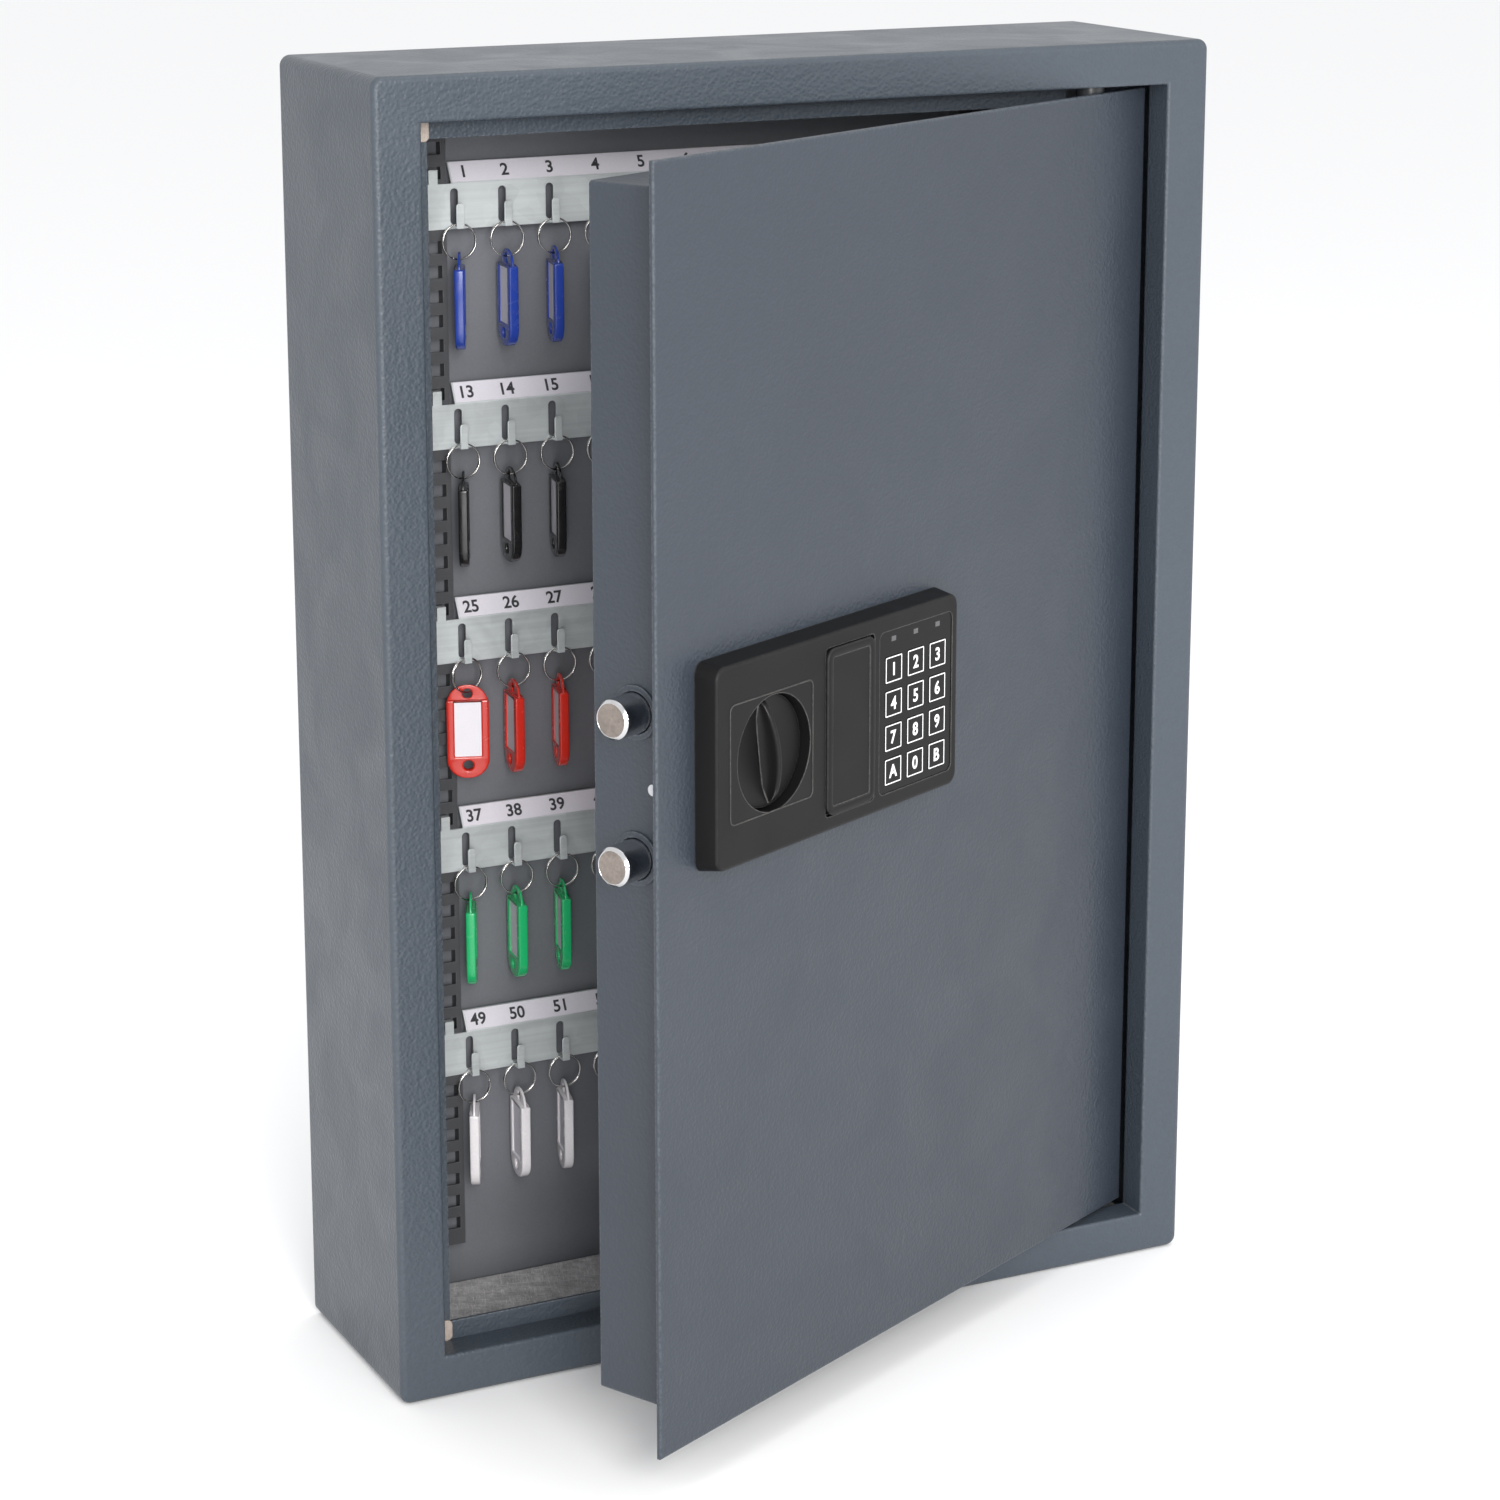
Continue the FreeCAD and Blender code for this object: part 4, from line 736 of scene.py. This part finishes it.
bushValues = {"sleeveWall": 1.35 * mm, "flangeEdge": 0.35 * mm, "flangeThickness": 1.0 * mm,
              "flangeReach": 1.3 * mm}
low, high = shutBox("bolt_bushes")
bushRadius = (high.y - low.y) / 2
bushParts = []
for height in boltHeights:
    f, w, t = bushValues["flangeEdge"], bushValues["sleeveWall"], bushValues["flangeThickness"]
    sleeve = bushRadius - bushValues["flangeReach"]
    bore = sleeve - w
    profile = [(high.x - low.x, bore), (f * 1.5, bore), (0, bore + f * 1.2), (0, bushRadius - f),
               (f * 0.3, bushRadius - f * 0.3),
               (f, bushRadius), (t, bushRadius), (t, sleeve), (high.x - low.x, sleeve)]
    bushParts.append(turnedAlong(profile, (low.x, low.y + bushRadius, height), (1, 0, 0), (0, 1, 0),
                                 closedRound=True))
onDoor(joinMeshes("boltBushes", bushParts, "doorPaint", 30), "door", "bush_black", "bolt_bushes")
print("bolts and bushes made")

# turning knob
knobValues = {"discThickness": 2.2 * mm, "rim": 1.2 * mm, "dish": 1.1 * mm, "finHalf": 1.25 * mm,
              "finFlare": 5.2 * mm, "finTilt": 8.0, "finSections": 40}
low, high = shutBox("knob")
knobRadius = (high.z - low.z) / 2
knobCentre = Vector(((low.x + high.x) / 2, high.y, (low.z + high.z) / 2))
knobFace = high.y - knobValues["discThickness"]
finHeight = knobFace - low.y
v = knobValues
discProfile = [(0, 0.00002), (0, knobRadius - 0.3 * mm), (-0.3 * mm, knobRadius), (-1.7 * mm, knobRadius),
               (-2.1 * mm, knobRadius - 0.25 * mm), (-2.2 * mm, knobRadius - 0.6 * mm),
               (-2.15 * mm, knobRadius - v["rim"])]
for step in range(1, 13):
    share = 1 - step / 12
    discProfile.append((-2.15 * mm + v["dish"] * (1 - share * share),
                        max(0.00002, (knobRadius - v["rim"]) * share)))
discShape = turnedAlong(discProfile, knobCentre, (0, 1, 0), (1, 0, 0), segments=96, closedEnds=False)


def knobFin():
    reach = knobRadius - 1.3 * mm
    floor = knobFace + v["dish"] * 0.6
    rings = []
    for section in range(v["finSections"] + 1):
        z = -reach + 2 * reach * section / v["finSections"]
        crest = (finHeight + 0.5 * mm) * math.sqrt(max(0.0, 1 - (z / reach) ** 2)) ** 1.25
        crest = max(crest, 0.35 * mm)
        half = v["finHalf"]
        flare = v["finFlare"] * min(1.0, crest / finHeight)
        ring = []
        for side in (-1, 1):
            heights = [0, 0.12, 0.26, 0.42, 0.6, 0.8] if side < 0 else [0.8, 0.6, 0.42, 0.26, 0.12, 0]
            for h in heights:
                reachOut = half + flare * (1 - h) ** 4 * (0.45 if side < 0 else 1.0)
                ring.append(Vector((side * reachOut, floor - h * (crest + floor - knobFace), z)))
            if side < 0:
                for angle in (150, 120, 90, 60, 30):
                    a = math.radians(angle)
                    top = floor - (crest + floor - knobFace)
                    roundness = min(half, crest * 0.2)
                    ring.append(Vector((half * math.cos(a) * 0.98, top + roundness * (1 - math.sin(a)), z)))
        rings.append(ring)
    return bridgeRings(rings)


finPlace = Matrix.Translation((knobCentre.x, 0, knobCentre.z))
finShape = placedMesh(knobFin(), finPlace @ Matrix.Rotation(math.radians(-v["finTilt"]), 4, "Y"))
onDoor(joinMeshes("turningKnob", [discShape, finShape], "panelBlack", 35), "knob", "panel_black", "knob")

# the thin raised outline round the knob
outlineValues = {"left": -28.0 * mm, "right": 25.0 * mm, "low": -23.5 * mm, "high": 24.5 * mm,
                 "radius": 3.0 * mm, "line": 0.7 * mm, "rise": 0.3 * mm}
panelLow, panelHigh = shutBox("lock_housing")
v = outlineValues
face = panelLow.y + 0.02 * mm
centre = (knobCentre.x + (v["left"] + v["right"]) / 2, knobCentre.z + (v["low"] + v["high"]) / 2)
outline = steppedPlate(centre, (v["right"] - v["left"]) / 2, (v["high"] - v["low"]) / 2, v["radius"],
                       [(0, face), (v["line"] * 0.3, face - v["rise"]), (v["line"] * 0.7, face - v["rise"]),
                        (v["line"], face)], closedRound=True)
onDoor(joinMeshes("knobOutline", [outline], "panelBlack", 60), "door", "panel_black")
print("knob made")

# cover plate over the emergency lock
plateValues = {"radius": 1.8 * mm, "edge": 0.6 * mm, "pocketInset": 3.2 * mm, "pocketDepth": 0.5 * mm}
low, high = shutBox("emergency_cover")
v = plateValues
steps = [(0.2 * mm, high.y), (0, high.y - 0.2 * mm), (0, low.y + v["edge"]),
         (v["edge"] * 0.3, low.y + v["edge"] * 0.3), (v["edge"], low.y),
         (v["pocketInset"], low.y), (v["pocketInset"] + 0.25 * mm, low.y + 0.12 * mm),
         (v["pocketInset"] + 0.5 * mm, low.y + v["pocketDepth"]),
         (v["pocketInset"] + 1.2 * mm, low.y + v["pocketDepth"])]
plate = steppedPlate(((low.x + high.x) / 2, (low.z + high.z) / 2), (high.x - low.x) / 2, (high.z - low.z) / 2,
                     v["radius"] + 3 * mm, steps)
onDoor(joinMeshes("coverPlate", [plate], "panelBlack", 50), "emergency_cover", "panel_black",
       "emergency_cover")

# printed keys
keyValues = {"lineInset": 0.25 * mm, "line": 0.45 * mm, "print": 0.06 * mm, "letterSize": 7.4 * mm,
             "bold": 0.18 * mm, "corner": 0.5 * mm}
v = keyValues
for name in sorted(n for n in nodes if n.startswith("key_") and len(n) == 5):
    low, high = shutBox(name)
    face = low.y + 0.01 * mm
    centre = ((low.x + high.x) / 2, (low.z + high.z) / 2)
    frameShape = steppedPlate(centre, (high.x - low.x) / 2 - v["lineInset"],
                              (high.z - low.z) / 2 - v["lineInset"], v["corner"],
                              [(0, face), (0.05 * mm, face - v["print"]), (v["line"], face - v["print"]),
                               (v["line"] + 0.05 * mm, face)], closedRound=True)
    upright = Matrix.Translation((centre[0], face - v["print"] / 2,
                                  centre[1])) @ Matrix.Rotation(math.radians(90), 4, "X")
    glyph = placedMesh(writtenMesh(name[-1].upper(), v["letterSize"], v["bold"], v["print"]), upright)
    onDoor(joinMeshes("print_" + name, [frameShape, glyph], "print", 30), name, "label_white")
print("cover plate and key prints made")

# numbers on the strips over the hooks
barValues = {"plateHeight": 19.0 * mm, "slantRise": 8.6 * mm, "slantBack": 4.5 * mm,
             "cardThickness": 0.4 * mm,
             "frontFromHooks": 4.6 * mm, "numberHeight": 0.52}
hookValues = {"pitch": 21.6 * mm, "count": 12}
numberValues = {"size": 7.4 * mm, "bold": 0.16 * mm, "print": 0.05 * mm, "leads": (5.0, 2.0, 0.8, 0.3)}
hookXs = [(i - (hookValues["count"] - 1) / 2) * hookValues["pitch"] for i in range(hookValues["count"])]
slope = Vector((0, barValues["slantBack"], barValues["slantRise"]))
slopeLength = slope.length
slope.normalize()
outward = Vector((0, -slope.z, slope.y))
numberParts = []
for row in range(5):
    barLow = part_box("hook_bar_%d" % (row + 1))[0]
    barFront = joints["key_row_%d_swing" % (row + 1)]["pos_m"][1] + barValues["frontFromHooks"]
    foot = Vector((0, barFront, barLow.z + barValues["plateHeight"]))
    middle = foot + slope * (slopeLength
                             * barValues["numberHeight"]) + outward * (barValues["cardThickness"]
                                                                       + numberValues["print"] / 2)
    for column, x in enumerate(hookXs):
        lead = numberValues["leads"][column] if column < len(numberValues["leads"]) else 0.0
        basis = Matrix(((1, 0, 0, x + lead * mm), (0, slope.y, outward.y, middle.y),
                        (0, slope.z, outward.z, middle.z), (0, 0, 0, 1)))
        digits = writtenMesh(str(row * hookValues["count"] + column + 1), numberValues["size"],
                             numberValues["bold"], numberValues["print"])
        numberParts.append(placedMesh(digits, basis))
numbers = joinMeshes("hookNumbers", numberParts, "numberInk", 30)
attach(numbers, "cabinet")
print("numbers made")

# key rings and tags
ringValues = {"meanRadius": 7.4 * mm, "wire": 0.36 * mm, "turns": 2, "steps": 96, "wireSides": 8,
              "gap": 0.68 * mm}
tagValues = {"width": 18.2 * mm, "height": 41.0 * mm, "thickness": 4.2 * mm, "corner": 8.4 * mm,
             "lugThickness": 1.0 * mm, "lugHeight": 6.4 * mm,
             "hole": 4.4 * mm, "holeRim": 1.6 * mm, "lowHole": 5.6 * mm, "windowWidth": 11.4 * mm,
             "windowHeight": 24.4 * mm,
             "windowGap": 0.6 * mm, "edge": 0.7 * mm, "lugEdge": 0.3 * mm, "cardThickness": 3.0 * mm,
             "windowCorner": 0.4 * mm, "ringGap": 0.9 * mm, "wireHalf": 0.6 * mm}
yaws = (-24.0, -6.0, -12.0, -26.0, -15.0, -3.0, -20.0, 8.0, -10.0, -28.0, 4.0, -17.0)
turned = {"row": 3, "tagYaw": 70.0, "ringYaw": 12.0}
rowFinish = ["tagBlue", "tagBlack", "tagRed", "tagGreen", "tagWhite"]
rowSlot = ["tag_blue", "tag_black", "tag_red", "tag_green", "tag_white"]


def yawOf(row, column):
    if row == turned["row"] and column == 0:
        return turned["tagYaw"], turned["ringYaw"]
    yaw = yaws[(column + (5 * (row - 1) if column > 3 else 0)) % len(yaws)]
    if column == 0:
        return -abs(yaw), 0.0
    if column == hookValues["count"] - 1:
        return abs(yaw), 0.0
    return yaw, 0.0


# a flat coil of wire in the x-z plane, two turns side by side, its ends stepping over
def splitRing(v):
    rings = []
    total = v["steps"] * v["turns"]
    for step in range(total + 1):
        angle = 2 * math.pi * step / v["steps"] + 0.9
        share = step / total
        across = v["gap"] * (min(1.0, max(0.0, (share - 0.46) / 0.08)) - 0.5)
        out = Vector((math.cos(angle), 0, math.sin(angle)))
        middle = out * v["meanRadius"] + Vector((0, across, 0))
        side = Vector((0, 1, 0))
        rings.append([middle + (out * math.cos(2 * math.pi * k / v["wireSides"]) + side
                                * math.sin(2 * math.pi * k / v["wireSides"])) * v["wire"]
                      for k in range(v["wireSides"])])
    return bridgeRings(rings)


# a closed outline in the x-z plane with round corners, as (x, z), anticlockwise
def outlinePoints(halfWidth, low, high, lowRadius, highRadius, steps=10):
    points = []
    for cx, cz, radius, start in ((halfWidth - highRadius, high - highRadius, highRadius, 0),
                                  (-halfWidth + highRadius, high - highRadius, highRadius, 90),
                                  (-halfWidth + lowRadius, low + lowRadius, lowRadius, 180),
                                  (halfWidth - lowRadius, low + lowRadius, lowRadius, 270)):
        for step in range(steps + 1):
            angle = math.radians(start + 90 * step / steps)
            points.append((cx + radius * math.cos(angle), cz + radius * math.sin(angle)))
    return points


def circlePoints(x, z, radius, steps=24):
    return [(x + radius * math.cos(2 * math.pi * i / steps),
             z + radius * math.sin(2 * math.pi * i / steps)) for i in range(steps)]


# a flat plate with holes and rounded edges, from outlines in (x, z), as (points, faces)
def cutPlate(outlines, thickness, edge):
    data = bpy.data.curves.new("plate", "CURVE")
    data.dimensions = "2D"
    data.fill_mode = "BOTH"
    data.extrude = thickness / 2 - edge
    data.bevel_depth = edge
    data.bevel_resolution = 3
    data.offset = -edge
    for points in outlines:
        spline = data.splines.new("POLY")
        spline.points.add(len(points) - 1)
        for point, (x, z) in zip(spline.points, points):
            point.co = (x, z, 0, 1)
        spline.use_cyclic_u = True
    plate = bpy.data.objects.new("plate", data)
    bpy.context.scene.collection.objects.link(plate)
    mesh = bpy.data.meshes.new_from_object(plate.evaluated_get(bpy.context.evaluated_depsgraph_get()))
    work = bmesh.new()
    work.from_mesh(mesh)
    bmesh.ops.remove_doubles(work, verts=work.verts, dist=0.000001)
    work.verts.index_update()
    shape = ([Vector((p.co.x, -p.co.z, p.co.y)) for p in work.verts],
             [tuple(q.index for q in f.verts) for f in work.faces])
    work.free()
    bpy.data.objects.remove(plate)
    bpy.data.curves.remove(data)
    bpy.data.meshes.remove(mesh)
    return shape


def tagShapes(v):
    top = v["hole"] / 2 + v["holeRim"]
    bottom = top - v["height"]
    half = v["width"] / 2
    holes = [circlePoints(0, 0, v["hole"] / 2), circlePoints(0, bottom + v["lowHole"], v["hole"] / 2)]
    lug = cutPlate([outlinePoints(half - 0.3 * mm, top - v["lugHeight"] - 3 * mm, top, 0.6 * mm, v["corner"]),
                    holes[0]], v["lugThickness"], v["lugEdge"])
    bodyTop = top - v["lugHeight"]
    windowTop = bodyTop - v["windowGap"]
    window = outlinePoints(v["windowWidth"] / 2, windowTop - v["windowHeight"], windowTop, v["windowCorner"],
                           v["windowCorner"], 5)
    body = cutPlate([outlinePoints(half, bottom, bodyTop, v["corner"], 0.9 * mm), window, holes[1]],
                    v["thickness"], v["edge"])
    cardSteps = [(0.0, -v["cardThickness"] / 2), (0.0, v["cardThickness"] / 2)]
    middle = windowTop - v["windowHeight"] / 2
    card = steppedPlate((0, middle), v["windowWidth"] / 2 + 0.3 * mm, v["windowHeight"] / 2 + 0.3 * mm,
                        1.2 * mm, cardSteps)
    return [lug, body], card


ringShape = splitRing(ringValues)
tagBody, tagCard = tagShapes(tagValues)
sideways = Matrix.Rotation(math.radians(90), 4, "Z")
for row in range(1, 6):
    hang = joints["key_row_%d_swing" % row]["pos_m"]
    wireTop = hang[2]
    ringParts, bodyParts, cardParts = [], [], []
    for column, x in enumerate(hookXs):
        tagYaw, ringYaw = yawOf(row, column)
        ringCentre = Vector((x, hang[1], wireTop - ringValues["meanRadius"]))
        spin = Matrix.Rotation(dice.uniform(0, 2 * math.pi), 4, "Y")
        ringParts.append(placedMesh(ringShape,
                                    Matrix.Translation(ringCentre) @ Matrix.Rotation(math.radians(ringYaw), 4,
                                                                                     "Z") @ spin))
        holeZ = ringCentre.z - ringValues["meanRadius"] - (tagValues["hole"] / 2 - tagValues["wireHalf"]
                                                           - tagValues["ringGap"])
        place = Matrix.Translation((x, hang[1], holeZ)) @ Matrix.Rotation(math.radians(tagYaw), 4,
                                                                          "Z") @ sideways
        bodyParts.extend(placedMesh(shape, place) for shape in tagBody)
        cardParts.append(placedMesh(tagCard, place))
    body = "key_row_%d" % row
    rings = joinMeshes("splitRings_%d" % row, ringParts, "ringWire", 60)
    tags = joinMeshes("tags_%d" % row, bodyParts, rowFinish[row - 1], 38)
    cards = joinMeshes("tagCards_%d" % row, cardParts, "labelCard", 30)
    for piece, slotName in ((rings, "ring_steel"), (tags, rowSlot[row - 1]), (cards, "label_white")):
        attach(piece, body)
    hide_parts("key_rings_row_%d" % row)
    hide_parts("key_tags_row_%d" % row)
print("rings and tags made")

# felt mat
feltValues = {"columns": 180, "rows": 46, "wave": 0.35 * mm, "fuzz": 0.22 * mm, "edgeRound": 1.1 * mm,
              "edgeBand": 2.5 * mm}
low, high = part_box("felt_mat")


def feltMat(v):
    width, depth = high.x - low.x, high.y - low.y
    points, faces = [], []
    columns, rowsAcross = v["columns"], v["rows"]
    for layer in (0, 1):
        for j in range(rowsAcross + 1):
            for i in range(columns + 1):
                x, y = low.x + width * i / columns, low.y + depth * j / rowsAcross
                toEdge = min(x - low.x, high.x - x, y - low.y, high.y - y)
                if layer == 0:
                    z = low.z
                else:
                    drop = v["edgeRound"] * max(0.0, 1 - toEdge / v["edgeBand"]) ** 2
                    wave = v["wave"] * noise.noise(Vector((x * 22, y * 30, 1.3)))
                    fuzz = v["fuzz"] * noise.noise(Vector((x * 420, y * 420, 7.7)))
                    z = high.z - v["wave"] - v["fuzz"] + wave + fuzz - drop
                points.append(Vector((x, y, z)))
    span = columns + 1
    upper = span * (rowsAcross + 1)
    for j in range(rowsAcross):
        for i in range(columns):
            a = j * span + i
            faces.append((a, a + span, a + span + 1, a + 1))
            faces.append((upper + a, upper + a + 1, upper + a + span + 1, upper + a + span))
    rim = [i for i in range(columns)] + [columns + j * span for j in range(rowsAcross)]
    rim += [rowsAcross * span + columns - i for i in range(columns)] + [(rowsAcross - j) * span
                                                                        for j in range(rowsAcross)]
    for a, b in zip(rim, rim[1:] + rim[:1]):
        faces.append((a, b, upper + b, upper + a))
    return points, faces


felt = joinMeshes("feltMat", [feltMat(feltValues)], "felt", 60)
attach(felt, "cabinet")
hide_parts("felt_mat")
print("felt mat made")
